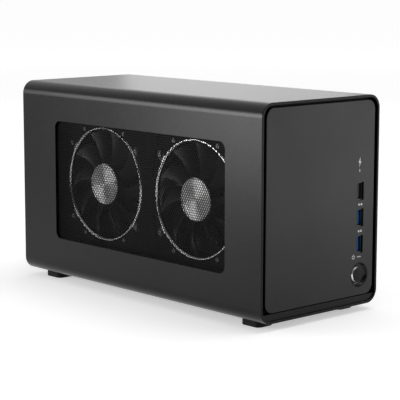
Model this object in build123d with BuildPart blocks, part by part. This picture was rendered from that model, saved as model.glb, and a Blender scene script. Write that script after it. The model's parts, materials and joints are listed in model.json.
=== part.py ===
from build123d import *
import os
from math import cos, radians, sin

os.makedirs("parts", exist_ok=True)

# Axes: +X right seen from the front, +Y to the back, +Z up, origin on the floor under the middle.
# All sizes are in millimetres.

# Sleeve: a rounded metal tube, open at the front and the back
SLEEVE_WIDTH = 125.0
SLEEVE_HEIGHT = 160.0
SLEEVE_LENGTH = 285.0
SLEEVE_WALL = 2.0
SLEEVE_RADIUS = 10.5
RIM_ROUND = 0.4

# Rubber feet under the sleeve
FOOT_HEIGHT = 5.5
FOOT_WIDTH = 16.4
FOOT_LENGTH = 19.0
FOOT_CORNER = 4.0
FOOT_SIDE_INSET = 19.2
FOOT_END_INSET = 23.2
FOOT_SOLE_ROUND = 0.6
FOOT_SEAT = 2.5

# Window in the left wall, with a perforated sheet behind it
WINDOW_RADIUS = 6.0
WINDOW_FRONT_SETBACK = 37.9
WINDOW_REAR_SETBACK = 44.1
WINDOW_SILL = 32.3
WINDOW_HEAD = 30.2
MESH_SHEET = 0.8
MESH_OVERLAP = 4.0
MESH_PITCH = 14.5
MESH_WEB = 2.2

# Clearances
FIT = 0.25
SLIDE_CLEARANCE = 0.3
SHAFT_CLEARANCE = 0.05

# Small fasteners
SCREW_DIAMETER = 3.0
SCREW_HEAD_DIAMETER = 5.6
SCREW_HEAD_HEIGHT = 1.8
SCREW_LENGTH = 6.0
THUMB_DIAMETER = 8.0
THUMB_LENGTH = 6.0
THUMB_FLUTES = 12

# Front frame and panel
FRAME_RECESS = 6.3
FRAME_DEPTH = 4.0
FRAME_LEDGE = 6.5
LEDGE_INSET = 1.2
CHIN_RECESS = 1.0
CHIN_GAP = 0.7
FRAME_BAR = 5.0
PANEL_RECESS = 0.4
PANEL_SHEET = 2.0
PANEL_SIDE_GAP = 2.9
PANEL_TOP_GAP = 1.8
PANEL_BOTTOM_GAP = 5.8
PANEL_RADIUS = 7.5
PANEL_EDGE = 0.3

# Column of ports and the power button
COLUMN_INSET = 19.7
PORT_PITCH = 20.3
LOWEST_PORT_RISE = 47.0
PORT_CUT_WIDTH = 6.8
PORT_CUT_HEIGHT = 13.4
PORT_RECESS = 1.5
PORT_SHELL_WIDTH = 5.7
PORT_SHELL_HEIGHT = 13.1
PORT_SHELL_LENGTH = 13.0
PORT_SHELL_WALL = 0.4
PORT_TONGUE = 1.84
PORT_TONGUE_HEIGHT = 11.1
PORT_TONGUE_LENGTH = 8.4
PORT_TONGUE_SHIFT = 0.9
PORT_PLUG_BLOCK = 3.0
BUTTON_RISE = 23.3
BUTTON_HOLE_DIAMETER = 18.8
BUTTON_DIAMETER = 12.8
BUTTON_RECESS = 1.3
BUTTON_LENGTH = 5.85
BUTTON_TRAVEL = 1.2
BUTTON_DOME = 0.25
BUTTON_COLLAR = 1.0
BUTTON_CLEARANCE = 0.2
BEZEL_LIP = 0.4
BEZEL_DISH = 2.8
BEZEL_DISH_MIDDLE = 2.2
BEZEL_FLANGE = 1.8
STEM_DIAMETER = 3.0
SPRING_WIRE = 0.5
SPRING_DIAMETER = 5.6
SPRING_TURNS = 4
SWITCH_SIDE = 15.0
BOARD_SHEET = 1.6
FRONT_BOARD_WIDTH = 33.0
FRONT_BOARD_MARGIN = 9.0
FRONT_POST_DIAMETER = 6.0

# Chassis: tray, rails, back plate
RAIL_SHEET = 1.2
RAIL_HEIGHT = 10.0
RAIL_FOOT = 8.0
TRAY_SHEET = 1.2
TRAY_FLANGE = 12.0
TRAY_FRONT_GAP = 8.0
BACK_RECESS = 12.0
BACK_SHEET = 1.5
BACK_CLEARANCE = 0.5
LUG_SIDE = 12.0
LUG_SHEET = 1.5
LUG_INSET = 18.5
VENT_PITCH = 9.0
VENT_WEB = 1.8

# Main board and card slot
STANDOFF_HEIGHT = 6.0
STANDOFF_DIAMETER = 6.0
MAIN_BOARD_MARGIN = 3.0
MAIN_BOARD_SETBACK = 10.0
LINK_WIDTH = 10.0
LINK_DEPTH = 9.0
LINK_HEIGHT = 10.0
LINK_REACH = 5.0
LINK_OFFSET = 8.5
LINK_CLEARANCE = 0.2
SLOT_LENGTH = 89.0
SLOT_WIDTH = 7.5
SLOT_HEIGHT = 11.2
SLOT_DEPTH = 8.4
SLOT_SETBACK = 47.0
SLOT_END_WALL = 2.0
SLOT_FIT = 0.1
LATCH_WIDTH = 4.0
LATCH_PIN_DIAMETER = 2.0
LATCH_LENGTH = 7.0
LATCH_RISE = 4.0
LATCH_CHEEK = 1.2
LATCH_FINGER = 7.0
COOLER_SIDE = 36.0
COOLER_HEIGHT = 18.0
COOLER_FINS = 9
COOLER_FIN = 1.4
COOLER_BASE = 4.0

# Power supply with an exhaust fan, an inlet and a rocker switch
SUPPLY_CARD_GAP = 7.3
SUPPLY_HEIGHT = 100.0
SUPPLY_DEPTH = 125.0
SUPPLY_SIDE_GAP = 3.0
SUPPLY_EDGE = 1.5
SUPPLY_VENT_PITCH = 8.0
SUPPLY_FAN_MARGIN = 1.75
SUPPLY_FAN_TOP_GAP = 6.0
SUPPLY_FAN_RIM = 1.5
SUPPLY_FAN_DEPTH = 20.0
SUPPLY_FAN_WALL_GAP = 0.8
SUPPLY_FAN_BLADES = 7
SUPPLY_BLADE_SHARE = 0.7
SUPPLY_HUB_DIAMETER = 25.0
GRILLE_RINGS = 4
GRILLE_BAR_SHARE = 0.55
INLET_WIDTH = 27.0
INLET_HEIGHT = 19.6
INLET_DEPTH = 20.0
INLET_FLANGE = 2.0
INLET_FLANGE_LIP = 1.8
INLET_WALL = 1.6
INLET_POCKET = 16.0
INLET_CORNER = 5.0
INLET_RISE = 22.0
INLET_SHIFT = 11.0
INLET_PIN_WIDTH = 2.0
INLET_PIN_HEIGHT = 4.0
INLET_PIN_LENGTH = 10.0
INLET_PIN_SPREAD = 14.0
INLET_PIN_OFFSET = 4.0
ROCKER_WIDTH = 9.0
ROCKER_HEIGHT = 15.0
ROCKER_DEPTH = 8.0
ROCKER_TILT = 8.0
ROCKER_WALL = 2.0
ROCKER_SHIFT = 18.0
ROCKER_CLEARANCE = 0.35
ROCKER_PIN_DIAMETER = 2.0
ROCKER_RISE = 1.4

# Graphics card
CARD_FACE_DEPTH = 9.6
CARD_THICKNESS = 34.8
CARD_LIFT = 0.8
CARD_TOP_GAP = 5.3
SHROUD_FRONT_GAP = 13.1
SHROUD_OVERHANG = 14.75
SHROUD_FOOT_GAP = 6.5
SHROUD_ROOF_GAP = 13.4
FAN_GAP_SHARE = 0.3255
FAN_BLADES = 10
FAN_HUB_DIAMETER = 33.0
FAN_HUB_DEPTH = 11.0
FAN_PHASE_REAR = 67.0
FAN_PHASE_FRONT = 79.0
BLADE_THICKNESS = 1.1
BLADE_CAMBER = 1.2
BLADE_SWEEP = 14.0
BLADE_SWEEP_MIDDLE = 5.0
BLADE_ROOT_CHORD = 7.5
BLADE_MIDDLE_CHORD = 12.5
BLADE_TIP_CHORD = 17.5
BLADE_DROP = 7.0
BLADE_SINK = 1.6
RING_BAND = 2.3
RING_HEIGHT = 1.6
RING_PROUD = 0.7
RING_TIP_GAP = 0.9
RING_LUG_ANGLES = (37.0, 143.0, 217.0, 323.0)
RING_LUG_WIDTH = 6.8
RING_LUG_REACH = 3.9
RING_LUG_SHEET = 0.6
CAP_THICKNESS = 0.9
CAP_DISH = 0.5
CAP_RIM = 1.3
CAP_GROOVE = 0.8
CAP_DIMPLE = 3.0
SHROUD_WALL = 2.0
SHROUD_SKIRT = 16.0
SHROUD_MARGIN = 4.7
SHROUD_CORNER = 14.0
SHROUD_BEVEL = 2.5
WEDGE_START = 14.0
WEDGE_GAP_SHARE = 0.33
WEDGE_FLARE = 8.0
WEDGE_RISE = 0.8
WEDGE_TAPER = 35.0
SHROUD_POST_DIAMETER = 6.0
SHROUD_POST_INSET = 20.0
FAN_SHAFT_DIAMETER = 3.0
FAN_BASE_SHEET = 2.0
FAN_ARM_WIDTH = 5.0
FAN_ARM_ANGLES = (60.0, 120.0, 240.0, 300.0)
FAN_SCREW_DIAMETER = 2.0
FAN_SCREW_LENGTH = 6.0
FAN_SCREW_HEAD_DIAMETER = 3.4
FAN_SCREW_HEAD_HEIGHT = 0.9
HEATSINK_PLATE = 2.5
HEATSINK_FIN = 0.8
HEATSINK_FIN_PITCH = 3.4
HEATSINK_GAP = 1.5
CHIP_SIDE = 38.0
CHIP_HEIGHT = 2.6
BACKPLATE_SHEET = 1.0
BACKPLATE_GAP = 1.5
BRACKET_SHEET = 0.9
BRACKET_WIDTH = 38.4
BRACKET_LIFT = 6.2
BRACKET_FOOT = 8.9
BRACKET_VENTS = 12
BRACKET_VENT_MARGIN = 3.0
SLOT_PITCH = 20.32
SLOT_OPENING = 12.0
SLOT_OPENING_OFFSET = 5.0
DISPLAY_PORT_WIDTH = 5.6
DISPLAY_PORT_HEIGHT = 16.2
DISPLAY_PORT_DEPTH = 14.0
DISPLAY_PORT_MARGIN = 4.0
DISPLAY_PORT_COUNT = 4
DISPLAY_PORT_WALL = 0.6
DISPLAY_TONGUE_WIDTH = 1.8
DISPLAY_TONGUE_HEIGHT = 12.6
DISPLAY_PORT_POCKET = 11.5
LEDGE_DEPTH = 10.5
LEDGE_SHEET = 1.2
DATA_PORT_WIDTH = 9.0
DATA_PORT_HEIGHT = 3.2
DATA_PORT_DEPTH = 8.0
DATA_PORT_WALL = 0.4
DATA_PORT_TONGUE = 0.8
POWER_SOCKET_LENGTH = 18.0
POWER_SOCKET_HEIGHT = 9.0
POWER_SOCKET_DEPTH = 10.0
POWER_SOCKET_CELLS = 4
POWER_SOCKET_CELL = 3.4
POWER_SOCKET_POCKET = 7.0
POWER_SOCKET_POST_GAP = 4.2

# Places worked out from the sizes above
sleeve_mid_z = FOOT_HEIGHT + SLEEVE_HEIGHT / 2
front_y = -SLEEVE_LENGTH / 2
back_y = SLEEVE_LENGTH / 2
bore_width = SLEEVE_WIDTH - 2 * SLEEVE_WALL
bore_height = SLEEVE_HEIGHT - 2 * SLEEVE_WALL
bore_radius = SLEEVE_RADIUS - SLEEVE_WALL
bore_x = bore_width / 2
bore_floor = FOOT_HEIGHT + SLEEVE_WALL
bore_roof = bore_floor + bore_height
flat_x = SLEEVE_WIDTH / 2 - SLEEVE_RADIUS

window_length = SLEEVE_LENGTH - WINDOW_FRONT_SETBACK - WINDOW_REAR_SETBACK
window_height = SLEEVE_HEIGHT - WINDOW_SILL - WINDOW_HEAD
window_mid_y = front_y + WINDOW_FRONT_SETBACK + window_length / 2
window_mid_z = FOOT_HEIGHT + WINDOW_SILL + window_height / 2
mesh_hole = (MESH_PITCH - MESH_WEB) / 2
mesh_columns = int(window_length / (MESH_PITCH * cos(radians(30))))
mesh_rows = int(window_height / MESH_PITCH)

foot_x = SLEEVE_WIDTH / 2 - FOOT_SIDE_INSET
foot_y = SLEEVE_LENGTH / 2 - FOOT_END_INSET
foot_places = {
    "front_left": (-foot_x, -foot_y),
    "front_right": (foot_x, -foot_y),
    "rear_left": (-foot_x, foot_y),
    "rear_right": (foot_x, foot_y),
}

panel_width = bore_width - 2 * PANEL_SIDE_GAP
panel_bottom = bore_floor + PANEL_BOTTOM_GAP
panel_height = bore_roof - PANEL_TOP_GAP - panel_bottom
panel_mid_z = panel_bottom + panel_height / 2
panel_front = front_y + PANEL_RECESS
panel_back = panel_front + PANEL_SHEET
frame_front = front_y + FRAME_RECESS
frame_back = frame_front + FRAME_DEPTH
chin_front = front_y + CHIN_RECESS
chin_top = panel_bottom - CHIN_GAP
column_x = SLEEVE_WIDTH / 2 - COLUMN_INSET
port_names = ("lower_data_port", "upper_data_port", "charge_port")
port_heights = [FOOT_HEIGHT + LOWEST_PORT_RISE + PORT_PITCH * step for step in range(len(port_names))]
port_front = panel_front + PORT_RECESS
board_front = port_front + PORT_SHELL_LENGTH
board_back = board_front + BOARD_SHEET
button_z = FOOT_HEIGHT + BUTTON_RISE
front_board_right = panel_width / 2
front_board_left = front_board_right - FRONT_BOARD_WIDTH
front_board_bottom = panel_bottom
front_board_top = port_heights[-1] + PORT_SHELL_HEIGHT / 2 + FRONT_BOARD_MARGIN
front_board_mid_x = (front_board_left + front_board_right) / 2
front_board_mid_z = (front_board_bottom + front_board_top) / 2
front_post_left = front_board_left + FRONT_POST_DIAMETER / 2 + FIT
front_post_right = front_board_right - FRONT_POST_DIAMETER / 2 - FIT
front_post_low = front_board_bottom + FRONT_POST_DIAMETER
front_post_high = front_board_top - FRONT_POST_DIAMETER
front_posts = [
    (x, z) for x in (front_post_left, front_post_right) for z in (front_post_low, front_post_high)
]

rail_outer = flat_x
rail_front = board_back + SCREW_HEAD_HEIGHT + FIT
tray_half = rail_outer - RAIL_SHEET - SLIDE_CLEARANCE
tray_under = bore_floor + RAIL_SHEET + SLIDE_CLEARANCE
tray_top = tray_under + TRAY_SHEET
flange_top = tray_under + TRAY_FLANGE
tray_front = board_back + TRAY_FRONT_GAP
back_outer = back_y - BACK_RECESS
back_inner = back_outer - BACK_SHEET
lug_bottom = bore_roof - LUG_SIDE
lug_back = back_inner - FIT
lug_x = bore_x - LUG_INSET
thumb_z = bore_roof - LUG_SIDE / 2 - LUG_SHEET / 2

main_board_under = tray_top + STANDOFF_HEIGHT
main_board_top = main_board_under + BOARD_SHEET
main_board_half = tray_half - TRAY_SHEET - MAIN_BOARD_MARGIN
main_board_front = board_back + MAIN_BOARD_SETBACK
main_board_rear = back_inner - MAIN_BOARD_MARGIN
standoff_x = main_board_half - STANDOFF_DIAMETER
standoff_ends = (main_board_front + STANDOFF_DIAMETER, main_board_rear - STANDOFF_DIAMETER)
standoff_places = [(x, y) for x in (-standoff_x, standoff_x) for y in standoff_ends]
link_x = front_board_left + LINK_OFFSET + LINK_WIDTH / 2
link_mid_z = main_board_under + BOARD_SHEET / 2
link_back = board_back + LINK_DEPTH

card_face = -SLEEVE_WIDTH / 2 + CARD_FACE_DEPTH + RING_PROUD
card_front_x = card_face + CARD_THICKNESS
card_back_x = card_front_x + BOARD_SHEET
card_mid_x = (card_front_x + card_back_x) / 2
slot_top = main_board_top + SLOT_HEIGHT
slot_rear = back_inner - SLOT_SETBACK
slot_front = slot_rear - SLOT_LENGTH
card_bottom = slot_top + CARD_LIFT
card_rear = back_inner - BRACKET_SHEET - FIT
shroud_bottom = card_bottom + SHROUD_FOOT_GAP
shroud_top = lug_bottom - SHROUD_ROOF_GAP
shroud_half = (shroud_top - shroud_bottom) / 2
shroud_rear = card_rear - FIT
shroud_front = board_back + SHROUD_FRONT_GAP
shroud_mid_y = (shroud_rear + shroud_front) / 2
shroud_length = shroud_rear - shroud_front
fan_z = (shroud_bottom + shroud_top) / 2
ring_outer = shroud_half - SHROUD_MARGIN
ring_inner = ring_outer - RING_BAND
fan_tip_radius = ring_inner - RING_TIP_GAP
ring_face = card_face - RING_PROUD
fan_gap = (shroud_length - 4 * ring_outer - SHROUD_MARGIN) * FAN_GAP_SHARE
front_fan_y = shroud_front + shroud_half
rear_fan_y = front_fan_y + 2 * ring_outer + fan_gap
card_end = shroud_front + SHROUD_OVERHANG
card_length = card_rear - card_end
ledge_top = shroud_top + SHROUD_WALL
card_top = ledge_top - CARD_TOP_GAP
card_height = card_top - card_bottom
shroud_inside = card_face + SHROUD_WALL
fan_base_face = ring_face + FAN_HUB_DEPTH + 2 * SLIDE_CLEARANCE
fan_base_back = fan_base_face + FAN_BASE_SHEET
heatsink_face = fan_base_back + HEATSINK_GAP
heatsink_back = card_front_x - CHIP_HEIGHT
chip_y = (rear_fan_y + front_fan_y) / 2
fan_arm_reach = ring_outer + FAN_ARM_WIDTH / 2 + FIT
ring_lug_radius = ring_outer + RING_LUG_REACH
wedge_foot = fan_gap * WEDGE_GAP_SHARE
wedge_head = wedge_foot + WEDGE_FLARE
post_low = shroud_bottom + SHROUD_WALL / 2 + SHROUD_POST_DIAMETER / 2
post_high = shroud_top - SHROUD_WALL / 2 - SHROUD_POST_DIAMETER / 2
post_ends = (card_end + SHROUD_POST_INSET, shroud_rear - SHROUD_POST_INSET)
bracket_right = card_mid_x + BOARD_SHEET
bracket_left = bracket_right - BRACKET_WIDTH
bracket_bottom = main_board_top + BRACKET_LIFT
opening_x = [card_front_x - SLOT_OPENING_OFFSET - SLOT_PITCH * step for step in range(2)]
opening_top = ledge_top - 2 * SCREW_HEAD_DIAMETER
opening_height = opening_top - bracket_bottom - BRACKET_FOOT
opening_mid_z = opening_top - opening_height / 2
display_port_pitch = (opening_height - 2 * DISPLAY_PORT_MARGIN) / DISPLAY_PORT_COUNT
bracket_vent_pitch = (opening_height - 2 * BRACKET_VENT_MARGIN) / BRACKET_VENTS
bracket_screws_x = [bracket_left + BRACKET_WIDTH / 4, bracket_right - BRACKET_WIDTH / 4]
ledge_screw_y = back_outer + LEDGE_DEPTH / 2
display_back = back_outer - FIT

supply_right = bore_x - SUPPLY_SIDE_GAP
supply_left = card_back_x + BACKPLATE_GAP + BACKPLATE_SHEET + SUPPLY_CARD_GAP
supply_width = supply_right - supply_left
supply_mid_x = (supply_left + supply_right) / 2
supply_bottom = flange_top
supply_top = supply_bottom + SUPPLY_HEIGHT
supply_front = back_inner - SUPPLY_DEPTH
inlet_x = supply_mid_x - INLET_SHIFT
inlet_z = supply_bottom + INLET_RISE
inlet_cut_width = INLET_WIDTH + 2 * FIT
inlet_cut_height = INLET_HEIGHT + 2 * FIT
rocker_x = supply_mid_x + ROCKER_SHIFT
supply_fan_room = supply_top - SUPPLY_FAN_TOP_GAP - inlet_z - inlet_cut_height / 2 - INLET_FLANGE_LIP
supply_fan_side = min(supply_width - 2 * SUPPLY_FAN_MARGIN, supply_fan_room)
supply_fan_bore = supply_fan_side - 2 * SUPPLY_FAN_RIM
supply_fan_z = supply_top - SUPPLY_FAN_TOP_GAP - supply_fan_side / 2
supply_vents = int((supply_width - 2 * SUPPLY_FAN_MARGIN) / SUPPLY_VENT_PITCH)


def facing_front(y):
    """Upright plane at y, seen from the front: sketch x is X and sketch y is Z."""
    return Plane(origin=(0, y, 0), x_dir=(1, 0, 0), z_dir=(0, -1, 0))


def facing_back(y):
    """Upright plane at y, seen from the back: sketch x is -X and sketch y is Z."""
    return Plane(origin=(0, y, 0), x_dir=(-1, 0, 0), z_dir=(0, 1, 0))


def facing_left(x):
    """Upright plane at x, seen from the left: sketch x is -Y and sketch y is Z."""
    return Plane(origin=(x, 0, 0), x_dir=(0, -1, 0), z_dir=(-1, 0, 0))


def level(z):
    """Level plane at z."""
    return Plane.XY.offset(z)


def turning_plane(axis_plane):
    """Plane through the axis of a turned piece: sketch x is the radius, sketch y runs along the axis."""
    return Plane(origin=axis_plane.origin, x_dir=axis_plane.x_dir, z_dir=axis_plane.y_dir * -1)


def turning_axis(axis_plane):
    """Axis of a turned piece."""
    return Axis(axis_plane.origin, axis_plane.z_dir)


def blade_plane(radius, angle):
    """Plane across a fan blade at a radius: sketch x runs round the hub, sketch y along the axis."""
    spoke = Vector(cos(radians(angle)), sin(radians(angle)), 0)
    around = Vector(-sin(radians(angle)), cos(radians(angle)), 0)
    return Plane(origin=spoke * radius, x_dir=around, z_dir=spoke)


def blade_section(radius, angle, chord, drop, thickness):
    """Cambered blade section for a loft: it falls by drop from the leading edge, which is at the angle."""
    with BuildSketch(blade_plane(radius, angle)) as section:
        with BuildLine():
            edge = (0, 0)
            tail = (-chord, -drop)
            crown = (-chord / 2, -drop / 2 + BLADE_CAMBER)
            ThreePointArc(edge, crown, tail)
            Line(tail, (tail[0], tail[1] - thickness))
            ThreePointArc(
                (tail[0], tail[1] - thickness),
                (crown[0], crown[1] - thickness),
                (edge[0], edge[1] - thickness),
            )
            Line((edge[0], edge[1] - thickness), edge)
        make_face()
    return section.sketch


# Outer sleeve
with BuildPart() as outer_sleeve:
    with BuildSketch(facing_front(front_y)):
        with Locations((0, sleeve_mid_z)):
            RectangleRounded(SLEEVE_WIDTH, SLEEVE_HEIGHT, SLEEVE_RADIUS)
            RectangleRounded(bore_width, bore_height, bore_radius, mode=Mode.SUBTRACT)
    extrude(amount=-SLEEVE_LENGTH)
    fillet(outer_sleeve.edges().group_by(Axis.Y)[0], RIM_ROUND)
    fillet(outer_sleeve.edges().group_by(Axis.Y)[-1], RIM_ROUND)
    with BuildSketch(facing_left(-SLEEVE_WIDTH / 2)):
        with Locations((-window_mid_y, window_mid_z)):
            RectangleRounded(window_length, window_height, WINDOW_RADIUS)
    extrude(amount=-SLEEVE_WALL, mode=Mode.SUBTRACT)
    with BuildSketch(level(FOOT_HEIGHT)):
        with Locations(*foot_places.values()):
            Circle(SCREW_DIAMETER / 2 + SHAFT_CLEARANCE)
    extrude(amount=SLEEVE_WALL, mode=Mode.SUBTRACT)
outer_sleeve.part.label = "outer_sleeve"
export_step(outer_sleeve.part, "parts/outer_sleeve.step")

# Perforated sheet behind the window
with BuildPart() as side_mesh:
    with BuildSketch(facing_left(-bore_x + MESH_SHEET)):
        with Locations((-window_mid_y, window_mid_z)):
            RectangleRounded(
                window_length + 2 * MESH_OVERLAP,
                window_height + 2 * MESH_OVERLAP,
                WINDOW_RADIUS,
            )
            with HexLocations(MESH_PITCH / 2, mesh_columns, mesh_rows):
                RegularPolygon(mesh_hole, 6, major_radius=False, mode=Mode.SUBTRACT)
    extrude(amount=MESH_SHEET)
side_mesh.part.label = "side_mesh"
export_step(side_mesh.part, "parts/side_mesh.step")

# Feet
for corner, (x, y) in foot_places.items():
    with BuildPart() as foot:
        with BuildSketch(level(0)):
            with Locations((x, y)):
                RectangleRounded(FOOT_WIDTH, FOOT_LENGTH, FOOT_CORNER)
        extrude(amount=FOOT_HEIGHT)
        fillet(foot.edges().group_by(Axis.Z)[0], FOOT_SOLE_ROUND)
        with BuildSketch(level(0)):
            with Locations((x, y)):
                Circle(SCREW_HEAD_DIAMETER / 2 + FIT)
        extrude(amount=FOOT_HEIGHT - FOOT_SEAT, mode=Mode.SUBTRACT)
        with BuildSketch(level(0)):
            with Locations((x, y)):
                Circle(SCREW_DIAMETER / 2 + SHAFT_CLEARANCE)
        extrude(amount=FOOT_HEIGHT, mode=Mode.SUBTRACT)
    foot.part.label = f"foot_{corner}"
    export_step(foot.part, f"parts/foot_{corner}.step")

with BuildPart() as foot_screws:
    with BuildSketch(level(FOOT_HEIGHT - FOOT_SEAT)):
        with Locations(*foot_places.values()):
            Circle(SCREW_HEAD_DIAMETER / 2)
    extrude(amount=-SCREW_HEAD_HEIGHT)
    with BuildSketch(level(FOOT_HEIGHT - FOOT_SEAT)):
        with Locations(*foot_places.values()):
            Circle(SCREW_DIAMETER / 2)
    extrude(amount=FOOT_SEAT + SLEEVE_WALL)
foot_screws.part.label = "foot_screws"
export_step(foot_screws.part, "parts/foot_screws.step")

# Front frame: a ring deep in the sleeve's mouth, with a ledge behind the panel and a chin under it
with BuildPart() as front_frame:
    with BuildSketch(facing_front(frame_front)):
        with Locations((0, sleeve_mid_z)):
            RectangleRounded(bore_width - 2 * FIT, bore_height - 2 * FIT, bore_radius - FIT)
    extrude(amount=-FRAME_DEPTH)
    with BuildSketch(facing_front(panel_back)):
        with Locations((0, panel_mid_z)):
            RectangleRounded(
                panel_width - 2 * LEDGE_INSET,
                panel_height - 2 * LEDGE_INSET,
                PANEL_RADIUS - LEDGE_INSET,
            )
    extrude(amount=panel_back - frame_front)
    with BuildSketch(facing_front(chin_front)):
        with Locations((0, sleeve_mid_z)):
            RectangleRounded(bore_width - 2 * FIT, bore_height - 2 * FIT, bore_radius - FIT)
        with Locations((0, chin_top)):
            Rectangle(bore_width, bore_height, align=(Align.CENTER, Align.MIN), mode=Mode.SUBTRACT)
    extrude(amount=chin_front - frame_front)
    with BuildSketch(facing_front(panel_back)):
        with Locations((0, panel_mid_z)):
            RectangleRounded(panel_width - 2 * FRAME_LEDGE, panel_height - 2 * FRAME_LEDGE, FRAME_LEDGE)
        with Locations((front_post_left, panel_mid_z)):
            Rectangle(FRAME_BAR, panel_height, mode=Mode.SUBTRACT)
    extrude(amount=panel_back - frame_back, mode=Mode.SUBTRACT)
    with BuildSketch(facing_front(panel_back)):
        with Locations((column_x, button_z)):
            Circle(BUTTON_HOLE_DIAMETER / 2 + BEZEL_FLANGE + FIT)
    extrude(amount=panel_back - frame_back, mode=Mode.SUBTRACT)
    with BuildSketch(facing_front(frame_back)):
        with Locations(*front_posts):
            Circle(FRONT_POST_DIAMETER / 2)
    extrude(amount=frame_back - board_front)
front_frame.part.label = "front_frame"
export_step(front_frame.part, "parts/front_frame.step")

# Front panel
with BuildPart() as front_panel:
    with BuildSketch(facing_front(panel_front)):
        with Locations((0, panel_mid_z)):
            RectangleRounded(panel_width, panel_height, PANEL_RADIUS)
        with Locations(*[(column_x, z) for z in port_heights]):
            Rectangle(PORT_CUT_WIDTH, PORT_CUT_HEIGHT, mode=Mode.SUBTRACT)
        with Locations((column_x, button_z)):
            Circle(BUTTON_HOLE_DIAMETER / 2, mode=Mode.SUBTRACT)
    extrude(amount=-PANEL_SHEET)
    chamfer(front_panel.edges().group_by(Axis.Y)[0], PANEL_EDGE)
front_panel.part.label = "front_panel"
export_step(front_panel.part, "parts/front_panel.step")

# Port board behind the panel, with its screws
with BuildPart() as front_board:
    with BuildSketch(facing_front(board_front)):
        with Locations((front_board_mid_x, front_board_mid_z)):
            Rectangle(FRONT_BOARD_WIDTH, front_board_top - front_board_bottom)
        with Locations(*front_posts):
            Circle(SCREW_DIAMETER / 2 + SHAFT_CLEARANCE, mode=Mode.SUBTRACT)
    extrude(amount=-BOARD_SHEET)
front_board.part.label = "front_board"
export_step(front_board.part, "parts/front_board.step")

with BuildPart() as front_board_screws:
    with BuildSketch(facing_front(board_back)):
        with Locations(*front_posts):
            Circle(SCREW_HEAD_DIAMETER / 2)
    extrude(amount=-SCREW_HEAD_HEIGHT)
    with BuildSketch(facing_front(board_back)):
        with Locations(*front_posts):
            Circle(SCREW_DIAMETER / 2)
    extrude(amount=BOARD_SHEET)
front_board_screws.part.label = "front_board_screws"
export_step(front_board_screws.part, "parts/front_board_screws.step")

# Ports: a folded metal shell with a plastic tongue inside, standing upright in the column
shell_inner_width = PORT_SHELL_WIDTH - 2 * PORT_SHELL_WALL
shell_inner_height = PORT_SHELL_HEIGHT - 2 * PORT_SHELL_WALL
for name, z in zip(port_names, port_heights):
    with BuildPart() as port_shell:
        with BuildSketch(facing_front(port_front)):
            with Locations((column_x, z)):
                Rectangle(PORT_SHELL_WIDTH, PORT_SHELL_HEIGHT)
                Rectangle(shell_inner_width, shell_inner_height, mode=Mode.SUBTRACT)
        extrude(amount=-PORT_SHELL_LENGTH)
    port_shell.part.label = f"{name}_shell"
    export_step(port_shell.part, f"parts/{name}_shell.step")

    with BuildPart() as port_tongue:
        with BuildSketch(facing_front(board_front)):
            with Locations((column_x, z)):
                Rectangle(shell_inner_width, shell_inner_height)
        extrude(amount=PORT_PLUG_BLOCK)
        with BuildSketch(facing_front(board_front - PORT_PLUG_BLOCK)):
            with Locations((column_x + PORT_TONGUE_SHIFT, z)):
                Rectangle(PORT_TONGUE, PORT_TONGUE_HEIGHT)
        extrude(amount=PORT_TONGUE_LENGTH)
    port_tongue.part.label = f"{name}_tongue"
    export_step(port_tongue.part, f"parts/{name}_tongue.step")

# Power button: dished bezel, sprung cap, switch body
button_plane = Plane(origin=(column_x, panel_front, button_z), x_dir=(1, 0, 0), z_dir=(0, -1, 0))
bezel_radius = BUTTON_HOLE_DIAMETER / 2 - SHAFT_CLEARANCE
bezel_bore = BUTTON_DIAMETER / 2 + BUTTON_CLEARANCE
bezel_wall = bezel_bore + BEZEL_FLANGE
button_end = BUTTON_RECESS + BUTTON_LENGTH
bezel_end = button_end - BUTTON_CLEARANCE
collar_end = button_end + BUTTON_COLLAR
switch_face = collar_end + BUTTON_TRAVEL + SLIDE_CLEARANCE
board_depth = board_front - panel_front
spring_floor = board_depth - STEM_DIAMETER / 2
with BuildPart() as button_bezel:
    with BuildSketch(turning_plane(button_plane)):
        with BuildLine():
            Polyline(
                (bezel_bore, -BEZEL_DISH),
                (bezel_bore, -bezel_end),
                (bezel_wall, -bezel_end),
                (bezel_wall, -PANEL_SHEET - BEZEL_FLANGE),
                (bezel_radius + BEZEL_FLANGE, -PANEL_SHEET - BEZEL_FLANGE),
                (bezel_radius + BEZEL_FLANGE, -PANEL_SHEET),
                (bezel_radius, -PANEL_SHEET),
                (bezel_radius, 0),
                (bezel_radius - BEZEL_LIP, 0),
            )
            dish_middle = (bezel_bore + bezel_radius - BEZEL_LIP) / 2
            ThreePointArc(
                (bezel_radius - BEZEL_LIP, 0),
                (dish_middle, -BEZEL_DISH_MIDDLE),
                (bezel_bore, -BEZEL_DISH),
            )
        make_face()
    revolve(axis=turning_axis(button_plane))
button_bezel.part.label = "button_bezel"
export_step(button_bezel.part, "parts/button_bezel.step")

with BuildPart() as power_button:
    with BuildSketch(turning_plane(button_plane)):
        with BuildLine():
            cap_edge = (BUTTON_DIAMETER / 2, -BUTTON_RECESS - BUTTON_DOME)
            Polyline(
                cap_edge,
                (BUTTON_DIAMETER / 2, -button_end),
                (bezel_wall - BUTTON_CLEARANCE, -button_end),
                (bezel_wall - BUTTON_CLEARANCE, -collar_end),
                (STEM_DIAMETER / 2, -collar_end),
                (STEM_DIAMETER / 2, -spring_floor),
                (0, -spring_floor),
                (0, -BUTTON_RECESS),
            )
            ThreePointArc(
                (0, -BUTTON_RECESS),
                (BUTTON_DIAMETER / 4, -BUTTON_RECESS - BUTTON_DOME / 4),
                cap_edge,
            )
        make_face()
    revolve(axis=turning_axis(button_plane))
power_button.part.label = "power_button"
export_step(power_button.part, "parts/power_button.step")

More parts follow.
